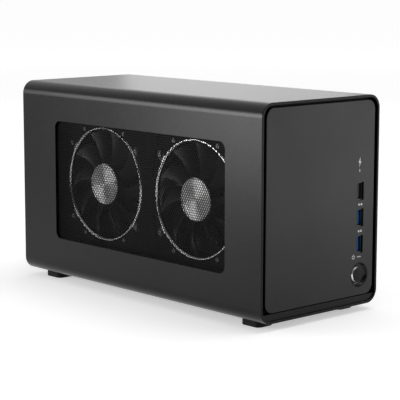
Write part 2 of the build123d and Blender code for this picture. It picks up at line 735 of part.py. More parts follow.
with BuildPart() as switch_body:
    with BuildSketch(facing_front(board_front)):
        with Locations((column_x, button_z)):
            Rectangle(SWITCH_SIDE, SWITCH_SIDE)
            Circle(STEM_DIAMETER / 2 + SHAFT_CLEARANCE, mode=Mode.SUBTRACT)
    extrude(amount=board_depth - switch_face)
    with BuildSketch(facing_front(panel_front + switch_face)):
        with Locations((column_x, button_z)):
            Circle(SPRING_DIAMETER / 2 + SPRING_WIRE)
    extrude(amount=switch_face - spring_floor + SPRING_WIRE, mode=Mode.SUBTRACT)
switch_body.part.label = "switch_body"
export_step(switch_body.part, "parts/switch_body.step")

spring_seat = panel_front + spring_floor - SPRING_WIRE
spring_rise = spring_floor - SPRING_WIRE - collar_end
spring_path_length = spring_rise - SPRING_WIRE - 2 * SHAFT_CLEARANCE
with BuildPart() as button_spring:
    with BuildLine():
        coil = Helix(
            pitch=spring_path_length / SPRING_TURNS,
            height=spring_path_length,
            radius=(SPRING_DIAMETER - SPRING_WIRE) / 2,
            center=(column_x, spring_seat - SPRING_WIRE / 2 - SHAFT_CLEARANCE, button_z),
            direction=(0, -1, 0),
        )
    with BuildSketch(Plane(origin=coil @ 0, z_dir=coil % 0)):
        Circle(SPRING_WIRE / 2)
    sweep(path=coil)
button_spring.part.label = "button_spring"
export_step(button_spring.part, "parts/button_spring.step")

# Edge socket on the port board that takes the main board's tongue
link_plane = facing_front(board_back)
with BuildPart() as link_socket:
    with BuildSketch(link_plane):
        with Locations((link_x, link_mid_z)):
            Rectangle(LINK_WIDTH + 2 * LINK_CLEARANCE + BOARD_SHEET * 2, LINK_HEIGHT)
    extrude(amount=-LINK_DEPTH)
    with BuildSketch(facing_front(link_back)):
        with Locations((link_x, link_mid_z)):
            Rectangle(LINK_WIDTH + 2 * LINK_CLEARANCE, BOARD_SHEET + 2 * LINK_CLEARANCE)
    extrude(amount=LINK_REACH + LINK_CLEARANCE, mode=Mode.SUBTRACT)
link_socket.part.label = "link_socket"
export_step(link_socket.part, "parts/link_socket.step")

# Rails on the sleeve's floor that guide the tray
for side, sign in (("left", -1), ("right", 1)):
    with BuildPart() as tray_rail:
        with BuildSketch(facing_front(rail_front)):
            with Locations((sign * (rail_outer - RAIL_FOOT / 2), bore_floor + RAIL_SHEET / 2)):
                Rectangle(RAIL_FOOT, RAIL_SHEET)
            with Locations((sign * (rail_outer - RAIL_SHEET / 2), bore_floor + RAIL_HEIGHT / 2)):
                Rectangle(RAIL_SHEET, RAIL_HEIGHT)
        extrude(amount=rail_front - back_inner + TRAY_SHEET)
    tray_rail.part.label = f"tray_rail_{side}"
    export_step(tray_rail.part, f"parts/tray_rail_{side}.step")

# Lugs under the sleeve's roof that the thumb screws go into
for side, sign in (("left", -1), ("right", 1)):
    with BuildPart() as back_lug:
        with BuildSketch(facing_left(sign * lug_x - LUG_SIDE / 2)):
            with Locations((-lug_back + LUG_SIDE / 2, bore_roof - LUG_SHEET / 2)):
                Rectangle(LUG_SIDE, LUG_SHEET)
            with Locations((-lug_back + LUG_SHEET / 2, bore_roof - LUG_SIDE / 2)):
                Rectangle(LUG_SHEET, LUG_SIDE)
        extrude(amount=-LUG_SIDE)
        with BuildSketch(facing_front(lug_back)):
            with Locations((sign * lug_x, thumb_z)):
                Circle(SCREW_DIAMETER / 2 + SHAFT_CLEARANCE)
        extrude(amount=LUG_SHEET, mode=Mode.SUBTRACT)
    back_lug.part.label = f"back_lug_{side}"
    export_step(back_lug.part, f"parts/back_lug_{side}.step")

# Chassis tray: a folded channel that slides on the rails
tongue_top = main_board_under - FIT
tray_screw_z = (tray_under + tongue_top) / 2
tray_screw_x = (-tray_half / 2, 0, tray_half / 2)
with BuildPart() as chassis_tray:
    with BuildSketch(facing_front(tray_front)):
        with Locations((0, tray_under + TRAY_FLANGE / 2)):
            Rectangle(2 * tray_half, TRAY_FLANGE)
        with Locations((0, tray_top + TRAY_FLANGE / 2)):
            Rectangle(2 * (tray_half - TRAY_SHEET), TRAY_FLANGE, mode=Mode.SUBTRACT)
    extrude(amount=tray_front - back_inner)
    fillet(chassis_tray.edges().filter_by(Axis.Y).group_by(Axis.Z)[0], TRAY_SHEET)
    with BuildSketch(facing_front(back_inner)):
        with Locations((0, (tray_top + tongue_top) / 2)):
            Rectangle(2 * tray_half - TRAY_SHEET, tongue_top - tray_top)
        with Locations(*[(x, tray_screw_z) for x in tray_screw_x]):
            Circle(SCREW_DIAMETER / 2 + SHAFT_CLEARANCE, mode=Mode.SUBTRACT)
    extrude(amount=TRAY_SHEET)
chassis_tray.part.label = "chassis_tray"
export_step(chassis_tray.part, "parts/chassis_tray.step")

# Back plate with the card's slots, the fan grille and the ledge that the card's bracket is screwed to
rocker_frame_width = ROCKER_WIDTH + 2 * ROCKER_CLEARANCE + 2 * ROCKER_WALL
rocker_frame_height = ROCKER_HEIGHT + 2 * ROCKER_WALL
bracket_mid_x = (bracket_left + bracket_right) / 2
tab_room = BRACKET_SHEET + 2 * FIT
data_port_x = bracket_mid_x
data_port_z = main_board_top + DATA_PORT_HEIGHT / 2
vent_mid_z = (supply_top + lug_bottom) / 2
vent_hole = (VENT_PITCH - VENT_WEB) / 2
vent_columns = int((supply_width - VENT_PITCH) / (VENT_PITCH * cos(radians(30))))
vent_rows = int((lug_bottom - supply_top) / VENT_PITCH)
grille_pitch = (supply_fan_bore - SUPPLY_HUB_DIAMETER) / 2 / GRILLE_RINGS
grille_bar = grille_pitch * GRILLE_BAR_SHARE
thumb_places = [(-lug_x, thumb_z), (lug_x, thumb_z)]
supply_screw_x = supply_width / 2 - SCREW_HEAD_DIAMETER
supply_screw_low = supply_bottom + SCREW_HEAD_DIAMETER / 2 + SUPPLY_EDGE
supply_screw_high = supply_top - SCREW_HEAD_DIAMETER / 2 - SUPPLY_EDGE / 2
supply_screws_at = [
    (supply_mid_x + side * supply_screw_x, z)
    for side in (-1, 1)
    for z in (supply_screw_low, supply_screw_high)
]
with BuildPart() as back_plate:
    with BuildSketch(facing_front(back_outer)):
        with Locations((0, sleeve_mid_z)):
            RectangleRounded(
                bore_width - 2 * BACK_CLEARANCE,
                bore_height - 2 * BACK_CLEARANCE,
                bore_radius - BACK_CLEARANCE,
            )
        with Locations(*[(x, opening_mid_z) for x in opening_x]):
            Rectangle(SLOT_OPENING, opening_height, mode=Mode.SUBTRACT)
        with Locations((bracket_mid_x, ledge_top + tab_room / 2)):
            Rectangle(BRACKET_WIDTH + 2 * FIT, tab_room, mode=Mode.SUBTRACT)
        with Locations((inlet_x, inlet_z)):
            Rectangle(inlet_cut_width, inlet_cut_height, mode=Mode.SUBTRACT)
        with Locations((rocker_x, inlet_z)):
            Rectangle(rocker_frame_width + 2 * FIT, rocker_frame_height + 2 * FIT, mode=Mode.SUBTRACT)
        with Locations((data_port_x, data_port_z)):
            Rectangle(DATA_PORT_WIDTH + 2 * FIT, DATA_PORT_HEIGHT + 2 * FIT, mode=Mode.SUBTRACT)
        with Locations((supply_mid_x, vent_mid_z)):
            with HexLocations(VENT_PITCH / 2, vent_columns, vent_rows):
                RegularPolygon(vent_hole, 6, major_radius=False, mode=Mode.SUBTRACT)
        with Locations(*thumb_places, *supply_screws_at):
            Circle(SCREW_DIAMETER / 2 + SHAFT_CLEARANCE, mode=Mode.SUBTRACT)
        with Locations(*[(x, tray_screw_z) for x in tray_screw_x]):
            Circle(SCREW_DIAMETER / 2 + SHAFT_CLEARANCE, mode=Mode.SUBTRACT)
    extrude(amount=BACK_SHEET)
    with BuildSketch(facing_front(back_outer)):
        with Locations((supply_mid_x, supply_fan_z)):
            for ring in range(GRILLE_RINGS):
                Circle(supply_fan_bore / 2 - ring * grille_pitch)
                Circle(supply_fan_bore / 2 - (ring + 1) * grille_pitch + grille_bar, mode=Mode.SUBTRACT)
            Rectangle(supply_fan_bore, grille_bar, rotation=45, mode=Mode.SUBTRACT)
            Rectangle(supply_fan_bore, grille_bar, rotation=-45, mode=Mode.SUBTRACT)
    extrude(amount=BACK_SHEET, mode=Mode.SUBTRACT)
    with BuildSketch(level(ledge_top)):
        with Locations((bracket_mid_x, back_outer + LEDGE_DEPTH / 2)):
            Rectangle(BRACKET_WIDTH, LEDGE_DEPTH)
        with Locations(*[(x, ledge_screw_y) for x in bracket_screws_x]):
            Circle(SCREW_DIAMETER / 2 + SHAFT_CLEARANCE, mode=Mode.SUBTRACT)
    extrude(amount=-LEDGE_SHEET)
back_plate.part.label = "back_plate"
export_step(back_plate.part, "parts/back_plate.step")

with BuildPart() as thumb_screws:
    with BuildSketch(facing_front(back_outer)):
        with Locations(*thumb_places):
            Circle(THUMB_DIAMETER / 2)
            with PolarLocations(THUMB_DIAMETER / 2, THUMB_FLUTES):
                Circle(THUMB_DIAMETER / THUMB_FLUTES / 2, mode=Mode.SUBTRACT)
    extrude(amount=-THUMB_LENGTH)
    with BuildSketch(facing_front(back_outer)):
        with Locations(*thumb_places):
            Circle(SCREW_DIAMETER / 2)
    extrude(amount=BACK_SHEET + FIT + 2 * LUG_SHEET)
thumb_screws.part.label = "thumb_screws"
export_step(thumb_screws.part, "parts/thumb_screws.step")

# Main board on its standoffs, with an edge tongue that goes into the link socket
main_board_mid_y = (main_board_front + main_board_rear) / 2
main_board_length = main_board_rear - main_board_front
tongue_length = main_board_front - link_back + LINK_REACH
with BuildPart() as main_board:
    with BuildSketch(level(main_board_under)):
        with Locations((0, main_board_mid_y)):
            Rectangle(2 * main_board_half, main_board_length)
        with Locations((link_x, main_board_front - tongue_length / 2)):
            Rectangle(LINK_WIDTH, tongue_length)
        with Locations(*standoff_places):
            Circle(SCREW_DIAMETER / 2 + SHAFT_CLEARANCE, mode=Mode.SUBTRACT)
    extrude(amount=BOARD_SHEET)
main_board.part.label = "main_board"
export_step(main_board.part, "parts/main_board.step")

with BuildPart() as board_standoffs:
    with BuildSketch(level(tray_top)):
        with Locations(*standoff_places):
            RegularPolygon(STANDOFF_DIAMETER / 2, 6)
            Circle(SCREW_DIAMETER / 2 + SHAFT_CLEARANCE, mode=Mode.SUBTRACT)
    extrude(amount=STANDOFF_HEIGHT)
board_standoffs.part.label = "board_standoffs"
export_step(board_standoffs.part, "parts/board_standoffs.step")

# Card slot with a pair of cheeks that carry the latch
slot_mid_y = (slot_front + slot_rear) / 2
slot_groove = SLOT_LENGTH - 2 * SLOT_END_WALL
latch_gap = LATCH_WIDTH + 2 * SLIDE_CLEARANCE
cheek_width = latch_gap + 2 * LATCH_CHEEK
latch_y = slot_front - LATCH_LENGTH / 2
latch_z = main_board_top + LATCH_RISE
with BuildPart() as card_slot:
    with BuildSketch(level(main_board_top)):
        with Locations((card_mid_x, slot_mid_y)):
            Rectangle(SLOT_WIDTH, SLOT_LENGTH)
    extrude(amount=SLOT_HEIGHT)
    with BuildSketch(level(slot_top)):
        with Locations((card_mid_x, slot_mid_y)):
            Rectangle(BOARD_SHEET + 2 * SLOT_FIT, slot_groove)
    extrude(amount=-SLOT_DEPTH, mode=Mode.SUBTRACT)
    with BuildSketch(level(main_board_top)):
        with Locations((card_mid_x, slot_front - LATCH_LENGTH / 2)):
            Rectangle(cheek_width, LATCH_LENGTH)
            Rectangle(latch_gap, LATCH_LENGTH, mode=Mode.SUBTRACT)
    extrude(amount=2 * LATCH_RISE)
    with BuildSketch(facing_left(card_mid_x)):
        with Locations((-latch_y, latch_z)):
            Circle(LATCH_PIN_DIAMETER / 2 + SHAFT_CLEARANCE)
    extrude(amount=cheek_width, both=True, mode=Mode.SUBTRACT)
card_slot.part.label = "card_slot"
export_step(card_slot.part, "parts/card_slot.step")

with BuildPart() as slot_latch:
    with BuildSketch(facing_left(card_mid_x)):
        with BuildLine():
            heel = (-latch_y, latch_z - LATCH_RISE + 4 * SLIDE_CLEARANCE)
            Polyline(
                (heel[0] - LATCH_PIN_DIAMETER, heel[1]),
                (heel[0] + LATCH_PIN_DIAMETER, heel[1]),
                (heel[0] + LATCH_PIN_DIAMETER, latch_z + LATCH_RISE),
                (heel[0] + LATCH_FINGER, latch_z + LATCH_RISE),
                (heel[0] + LATCH_FINGER, latch_z + LATCH_RISE + LATCH_PIN_DIAMETER),
                (heel[0] - LATCH_PIN_DIAMETER, latch_z + LATCH_RISE + LATCH_PIN_DIAMETER),
                close=True,
            )
        make_face()
    extrude(amount=LATCH_WIDTH / 2, both=True)
    with BuildSketch(facing_left(card_mid_x)):
        with Locations((-latch_y, latch_z)):
            Circle(LATCH_PIN_DIAMETER / 2)
    extrude(amount=cheek_width / 2, both=True)
slot_latch.part.label = "slot_latch"
export_step(slot_latch.part, "parts/slot_latch.step")

# Finned cooler on the main board's controller
cooler_pitch = (COOLER_SIDE - COOLER_FIN) / (COOLER_FINS - 1)
cooler_y = (main_board_front + supply_front) / 2
with BuildPart() as controller_cooler:
    with BuildSketch(level(main_board_top)):
        with Locations((supply_mid_x, cooler_y)):
            Rectangle(COOLER_SIDE, COOLER_SIDE)
    extrude(amount=COOLER_BASE)
    with BuildSketch(level(main_board_top + COOLER_BASE)):
        with Locations((supply_mid_x, cooler_y)):
            with GridLocations(cooler_pitch, 0, COOLER_FINS, 1):
                Rectangle(COOLER_FIN, COOLER_SIDE)
    extrude(amount=COOLER_HEIGHT - COOLER_BASE)
controller_cooler.part.label = "controller_cooler"
export_step(controller_cooler.part, "parts/controller_cooler.step")

# Data port at the back edge of the main board
data_port_back = back_outer - FIT
with BuildPart() as link_port:
    with BuildSketch(facing_front(data_port_back)):
        with Locations((data_port_x, data_port_z)):
            SlotOverall(DATA_PORT_WIDTH, DATA_PORT_HEIGHT)
    extrude(amount=DATA_PORT_DEPTH)
    with BuildSketch(facing_front(data_port_back)):
        with Locations((data_port_x, data_port_z)):
            SlotOverall(DATA_PORT_WIDTH - 2 * DATA_PORT_WALL, DATA_PORT_HEIGHT - 2 * DATA_PORT_WALL)
            Rectangle(DATA_PORT_WIDTH - DATA_PORT_HEIGHT, DATA_PORT_TONGUE, mode=Mode.SUBTRACT)
    extrude(amount=DATA_PORT_DEPTH - 2 * DATA_PORT_WALL, mode=Mode.SUBTRACT)
link_port.part.label = "link_port"
export_step(link_port.part, "parts/link_port.step")

# Power supply: a closed unit with pockets for its fan, inlet and switch
with BuildPart() as supply_case:
    with BuildSketch(level(supply_bottom)):
        with Locations((supply_mid_x, back_inner - SUPPLY_DEPTH / 2)):
            Rectangle(supply_width, SUPPLY_DEPTH)
    extrude(amount=SUPPLY_HEIGHT)
    fillet(supply_case.edges().filter_by(Axis.Y), SUPPLY_EDGE)
    with BuildSketch(facing_front(back_inner)):
        with Locations((supply_mid_x, supply_fan_z)):
            Rectangle(supply_fan_side + 2 * FIT, supply_fan_side + 2 * FIT)
    extrude(amount=SUPPLY_FAN_DEPTH, mode=Mode.SUBTRACT)
    with BuildSketch(facing_front(back_inner)):
        with Locations((inlet_x, inlet_z)):
            Rectangle(inlet_cut_width, inlet_cut_height)
        with Locations((rocker_x, inlet_z)):
            Rectangle(rocker_frame_width + 2 * FIT, rocker_frame_height + 2 * FIT)
    extrude(amount=INLET_DEPTH, mode=Mode.SUBTRACT)
    with BuildSketch(facing_front(back_inner)):
        with Locations(*supply_screws_at):
            Circle(SCREW_DIAMETER / 2 + SHAFT_CLEARANCE)
    extrude(amount=SCREW_LENGTH, mode=Mode.SUBTRACT)
    with BuildSketch(facing_front(supply_front)):
        with Locations((supply_mid_x, supply_fan_z)):
            with GridLocations(SUPPLY_VENT_PITCH, 0, supply_vents, 1):
                Rectangle(SUPPLY_VENT_PITCH / 2, supply_fan_side)
    extrude(amount=-SUPPLY_EDGE, mode=Mode.SUBTRACT)
supply_case.part.label = "supply_case"
export_step(supply_case.part, "parts/supply_case.step")

# Exhaust fan: a square frame with a motor plate on arms, and a bladed rotor
exhaust_plane = Plane(origin=(supply_mid_x, back_inner, supply_fan_z), x_dir=(-1, 0, 0), z_dir=(0, 1, 0))
motor_plane = exhaust_plane.offset(-SUPPLY_FAN_DEPTH)
with BuildPart() as exhaust_fan_frame:
    with BuildSketch(exhaust_plane):
        Rectangle(supply_fan_side, supply_fan_side)
        Circle(supply_fan_bore / 2, mode=Mode.SUBTRACT)
    extrude(amount=-SUPPLY_FAN_DEPTH)
    with BuildSketch(motor_plane):
        Circle(SUPPLY_HUB_DIAMETER / 2)
        Rectangle(supply_fan_side - FAN_ARM_WIDTH / 2, FAN_ARM_WIDTH / 2)
        Rectangle(FAN_ARM_WIDTH / 2, supply_fan_side - FAN_ARM_WIDTH / 2)
        Circle(FAN_SHAFT_DIAMETER / 2 + SHAFT_CLEARANCE, mode=Mode.SUBTRACT)
    extrude(amount=FAN_BASE_SHEET)
exhaust_fan_frame.part.label = "exhaust_fan_frame"
export_step(exhaust_fan_frame.part, "parts/exhaust_fan_frame.step")

exhaust_tip = supply_fan_bore / 2 - SUPPLY_FAN_WALL_GAP
exhaust_drop = SUPPLY_FAN_DEPTH - FAN_BASE_SHEET - 2 * BLADE_SINK - BLADE_THICKNESS
exhaust_pitch = 360 / SUPPLY_FAN_BLADES
exhaust_root = SUPPLY_HUB_DIAMETER / 2 - BLADE_THICKNESS
exhaust_blade_span = radians(exhaust_pitch * SUPPLY_BLADE_SHARE / 2)
with BuildPart() as exhaust_blade:
    exhaust_sections = [
        blade_section(radius, angle, 2 * radius * sin(exhaust_blade_span), exhaust_drop, BLADE_THICKNESS)
        for radius, angle in ((exhaust_root, 0), (exhaust_tip + BLADE_THICKNESS, BLADE_SWEEP))
    ]
    loft(exhaust_sections)
    with BuildSketch(Plane.XY):
        Circle(exhaust_tip)
    extrude(amount=2 * SUPPLY_FAN_DEPTH, both=True, mode=Mode.INTERSECT)

exhaust_rotor_plane = exhaust_plane.offset(-BLADE_SINK)
with BuildPart(exhaust_rotor_plane) as exhaust_fan:
    with BuildSketch(exhaust_rotor_plane):
        Circle(SUPPLY_HUB_DIAMETER / 2)
    extrude(amount=BLADE_SINK - SUPPLY_FAN_DEPTH + FAN_BASE_SHEET + SLIDE_CLEARANCE)
    with BuildSketch(exhaust_rotor_plane):
        Circle(FAN_SHAFT_DIAMETER / 2)
    extrude(amount=BLADE_SINK - SUPPLY_FAN_DEPTH + SLIDE_CLEARANCE)
    with PolarLocations(0, SUPPLY_FAN_BLADES):
        add(exhaust_blade.part)
exhaust_fan.part.label = "exhaust_fan"
export_step(exhaust_fan.part, "parts/exhaust_fan.step")

# Mains inlet: a flanged socket with three blades inside
inlet_face = back_outer + INLET_FLANGE
inlet_inner_width = INLET_WIDTH - 2 * INLET_WALL
inlet_inner_height = INLET_HEIGHT - 2 * INLET_WALL
with BuildPart() as power_inlet:
    with BuildSketch(facing_front(inlet_face)):
        with Locations((inlet_x, inlet_z)):
            Rectangle(inlet_cut_width + 2 * INLET_FLANGE_LIP, inlet_cut_height + 2 * INLET_FLANGE_LIP)
    extrude(amount=INLET_FLANGE)
    with BuildSketch(facing_front(back_outer)):
        with Locations((inlet_x, inlet_z)):
            Rectangle(INLET_WIDTH, INLET_HEIGHT)
    extrude(amount=INLET_DEPTH)
    with BuildSketch(facing_front(inlet_face)) as inlet_mouth:
        with Locations((inlet_x, inlet_z)):
            Rectangle(inlet_inner_width, inlet_inner_height)
        chamfer(inlet_mouth.vertices().group_by(Axis.Y)[-1], INLET_CORNER)
    extrude(amount=INLET_POCKET, mode=Mode.SUBTRACT)
power_inlet.part.label = "power_inlet"
export_step(power_inlet.part, "parts/power_inlet.step")

inlet_pin_places = [
    (inlet_x - INLET_PIN_SPREAD / 2, inlet_z - INLET_PIN_OFFSET / 2),
    (inlet_x, inlet_z + INLET_PIN_OFFSET / 2),
    (inlet_x + INLET_PIN_SPREAD / 2, inlet_z - INLET_PIN_OFFSET / 2),
]
with BuildPart() as inlet_pins:
    with BuildSketch(facing_front(inlet_face - INLET_POCKET)):
        with Locations(*inlet_pin_places):
            Rectangle(INLET_PIN_WIDTH, INLET_PIN_HEIGHT)
    extrude(amount=-INLET_PIN_LENGTH)
inlet_pins.part.label = "inlet_pins"
export_step(inlet_pins.part, "parts/inlet_pins.step")

# Rocker switch beside the inlet, resting tilted to one side
rocker_pivot_y = back_outer - ROCKER_PIN_DIAMETER
rocker_half = ROCKER_HEIGHT / 2 - 3 * ROCKER_CLEARANCE
with BuildPart() as rocker_frame:
    with BuildSketch(facing_front(inlet_face)):
        with Locations((rocker_x, inlet_z)):
            Rectangle(
                rocker_frame_width + 2 * FIT + 2 * INLET_FLANGE_LIP,
                rocker_frame_height + 2 * FIT + 2 * INLET_FLANGE_LIP,
            )
    extrude(amount=INLET_FLANGE)
    with BuildSketch(facing_front(back_outer)):
        with Locations((rocker_x, inlet_z)):
            Rectangle(rocker_frame_width, rocker_frame_height)
    extrude(amount=INLET_DEPTH)
    with BuildSketch(facing_front(inlet_face)):
        with Locations((rocker_x, inlet_z)):
            Rectangle(ROCKER_WIDTH + 2 * ROCKER_CLEARANCE, ROCKER_HEIGHT)
    extrude(amount=INLET_FLANGE + INLET_DEPTH - ROCKER_WALL, mode=Mode.SUBTRACT)
    with BuildSketch(facing_left(rocker_x)):
        with Locations((-rocker_pivot_y, inlet_z)):
            Circle(ROCKER_PIN_DIAMETER / 2 + SHAFT_CLEARANCE)
    extrude(amount=rocker_frame_width / 2, both=True, mode=Mode.SUBTRACT)
rocker_frame.part.label = "rocker_frame"
export_step(rocker_frame.part, "parts/rocker_frame.step")

rocker_plane = Plane(origin=(rocker_x, rocker_pivot_y, inlet_z), x_dir=(0, -1, 0), z_dir=(-1, 0, 0))
with BuildPart() as rocker:
    with BuildSketch(Plane(rocker_plane.location * Rot(0, 0, ROCKER_TILT))):
        with BuildLine():
            crest = -ROCKER_PIN_DIAMETER - INLET_FLANGE - ROCKER_RISE
            Polyline(
                (ROCKER_DEPTH / 2, -rocker_half + ROCKER_PIN_DIAMETER),
                (crest, -rocker_half),
                (-ROCKER_PIN_DIAMETER - INLET_FLANGE, 0),
                (crest, rocker_half),
                (ROCKER_DEPTH / 2, rocker_half - ROCKER_PIN_DIAMETER),
                close=True,
            )
        make_face()
    extrude(amount=ROCKER_WIDTH / 2, both=True)
    with BuildSketch(rocker_plane):
        Circle(ROCKER_PIN_DIAMETER / 2)
    extrude(amount=rocker_frame_width / 2, both=True)
rocker.part.label = "rocker"
export_step(rocker.part, "parts/rocker.step")

# Graphics card: board, chip, heatsink and backplate
card_mid_y = (card_end + card_rear) / 2
finger_bottom = slot_top - SLOT_DEPTH + CARD_LIFT
finger_length = slot_groove - 2 * FIT
with BuildPart() as card_board:
    with BuildSketch(facing_left(card_front_x)):
        with Locations((-card_mid_y, card_bottom + card_height / 2)):
            Rectangle(card_length, card_height)
        with Locations((-slot_mid_y, (finger_bottom + card_bottom) / 2)):
            Rectangle(finger_length, card_bottom - finger_bottom)
    extrude(amount=-BOARD_SHEET)
card_board.part.label = "card_board"
export_step(card_board.part, "parts/card_board.step")

with BuildPart() as graphics_chip:
    with BuildSketch(facing_left(card_front_x)):
        with Locations((-chip_y, fan_z)):
            Rectangle(CHIP_SIDE, CHIP_SIDE)
    extrude(amount=CHIP_HEIGHT)
graphics_chip.part.label = "graphics_chip"
export_step(graphics_chip.part, "parts/graphics_chip.step")

heatsink_bottom = post_low + SHROUD_POST_DIAMETER / 2 + HEATSINK_GAP
heatsink_top = card_top - POWER_SOCKET_HEIGHT - HEATSINK_GAP
heatsink_height = heatsink_top - heatsink_bottom
heatsink_front = shroud_front + SHROUD_WALL + SHROUD_CORNER / 2
heatsink_rear = display_back - DISPLAY_PORT_DEPTH - HEATSINK_GAP
heatsink_fins = int((heatsink_height - HEATSINK_FIN) / HEATSINK_FIN_PITCH) + 1
with BuildPart() as heatsink:
    with BuildSketch(facing_front(heatsink_front)):
        with Locations((heatsink_back - HEATSINK_PLATE / 2, (heatsink_bottom + heatsink_top) / 2)):
            Rectangle(HEATSINK_PLATE, heatsink_height)
        with Locations(((heatsink_face + heatsink_back) / 2, (heatsink_bottom + heatsink_top) / 2)):
            with GridLocations(0, HEATSINK_FIN_PITCH, 1, heatsink_fins):
                Rectangle(heatsink_back - heatsink_face, HEATSINK_FIN)
    extrude(amount=heatsink_front - heatsink_rear)
heatsink.part.label = "heatsink"
export_step(heatsink.part, "parts/heatsink.step")

with BuildPart() as card_backplate:
    with BuildSketch(facing_left(card_back_x + BACKPLATE_GAP)):
        with Locations((-card_mid_y, (card_bottom + card_top) / 2)):
            RectangleRounded(card_length - 2 * SHROUD_WALL, card_height - 2 * SHROUD_WALL, SHROUD_WALL)
    extrude(amount=-BACKPLATE_SHEET)
    with BuildSketch(facing_left(card_back_x)):
        with Locations(*[(-y, z) for y in post_ends for z in (post_low, post_high)]):
            Circle(SHROUD_POST_DIAMETER / 2)
    extrude(amount=-BACKPLATE_GAP)
card_backplate.part.label = "card_backplate"
export_step(card_backplate.part, "parts/card_backplate.step")

cell_pitch = POWER_SOCKET_LENGTH / POWER_SOCKET_CELLS
power_socket_y = post_ends[0] + SHROUD_POST_DIAMETER / 2 + POWER_SOCKET_POST_GAP + POWER_SOCKET_LENGTH / 2
with BuildPart() as card_power_socket:
    with BuildSketch(level(card_top - POWER_SOCKET_HEIGHT)):
        with Locations((card_front_x - POWER_SOCKET_DEPTH / 2, power_socket_y)):
            Rectangle(POWER_SOCKET_DEPTH, POWER_SOCKET_LENGTH)
    extrude(amount=POWER_SOCKET_HEIGHT)
    with BuildSketch(level(card_top)):
        with Locations((card_front_x - POWER_SOCKET_DEPTH / 2, power_socket_y)):
            with GridLocations(POWER_SOCKET_DEPTH / 2, cell_pitch, 2, POWER_SOCKET_CELLS):
                Rectangle(POWER_SOCKET_CELL, POWER_SOCKET_CELL)
    extrude(amount=-POWER_SOCKET_POCKET, mode=Mode.SUBTRACT)
card_power_socket.part.label = "card_power_socket"
export_step(card_power_socket.part, "parts/card_power_socket.step")

# Shroud over the card with a round opening for each fan
fan_centres = {"rear": rear_fan_y, "front": front_fan_y}
shroud_posts = [(-y, z) for y in post_ends for z in (post_low, post_high)]
fan_screw_places = [
    (-y + fan_arm_reach * cos(radians(angle)), fan_z + fan_arm_reach * sin(radians(angle)))
    for y in fan_centres.values()
    for angle in FAN_ARM_ANGLES
]
lug_screw_places = [
    (-y + ring_lug_radius * cos(radians(angle)), fan_z + ring_lug_radius * sin(radians(angle)))
    for y in fan_centres.values()
    for angle in RING_LUG_ANGLES
]
with BuildPart() as card_shroud:
    with BuildSketch(facing_left(card_face)) as shroud_outline:
        with Locations((-shroud_mid_y, fan_z)):
            Rectangle(shroud_length, 2 * shroud_half)
        chamfer(shroud_outline.vertices(), SHROUD_CORNER)
    extrude(amount=-SHROUD_SKIRT)
    chamfer(card_shroud.faces().sort_by(Axis.X)[0].edges(), SHROUD_BEVEL)
    for way in (-1, 1):
        with BuildSketch(facing_left(card_face)):
            with Locations((-chip_y, fan_z)):
                Polygon(
                    (-wedge_foot, way * WEDGE_START),
                    (wedge_foot, way * WEDGE_START),
                    (wedge_head, way * ring_outer),
                    (-wedge_head, way * ring_outer),
                    align=None,
                )
        extrude(amount=WEDGE_RISE, taper=WEDGE_TAPER)
    with BuildSketch(facing_left(shroud_inside)) as shroud_hollow:
        with Locations((-shroud_mid_y, fan_z)):
            Rectangle(shroud_length - 2 * SHROUD_WALL, 2 * shroud_half - 2 * SHROUD_WALL)
        chamfer(shroud_hollow.vertices(), SHROUD_CORNER - SHROUD_WALL / 2)
    extrude(amount=-SHROUD_SKIRT, mode=Mode.SUBTRACT)
    with BuildSketch(facing_left(shroud_inside)):
        with Locations(*shroud_posts):
            Circle(SHROUD_POST_DIAMETER / 2)
    extrude(amount=shroud_inside - card_front_x)
    with BuildSketch(facing_left(card_face)):
        with Locations(*[(-y, fan_z) for y in fan_centres.values()]):
            Circle(ring_outer + FIT)
    extrude(amount=RING_PROUD - RING_HEIGHT, mode=Mode.SUBTRACT)
    with BuildSketch(facing_left(card_face)):
        with Locations(*[(-y, fan_z) for y in fan_centres.values()]):
            Circle(ring_inner)
        with Locations(*fan_screw_places, *lug_screw_places):
            Circle(FAN_SCREW_DIAMETER / 2 + SHAFT_CLEARANCE)
    extrude(amount=-SHROUD_WALL, mode=Mode.SUBTRACT)
card_shroud.part.label = "card_shroud"
export_step(card_shroud.part, "parts/card_shroud.step")

# One blade of the card's fans, about an axis along Z with its leading edge at angle zero
blade_middle = (FAN_HUB_DIAMETER / 2 + fan_tip_radius) / 2
with BuildPart() as fan_blade:
    fan_sections = [
        blade_section(radius, angle, chord, BLADE_DROP, BLADE_THICKNESS)
        for radius, angle, chord in (
            (FAN_HUB_DIAMETER / 2 - BLADE_THICKNESS, 0, BLADE_ROOT_CHORD),
            (blade_middle, BLADE_SWEEP_MIDDLE, BLADE_MIDDLE_CHORD),
            (fan_tip_radius + BLADE_THICKNESS, BLADE_SWEEP, BLADE_TIP_CHORD),
        )
    ]
    loft(fan_sections)
    with BuildSketch(Plane.XY):
        Circle(fan_tip_radius)
    extrude(amount=2 * FAN_HUB_DEPTH, both=True, mode=Mode.INTERSECT)

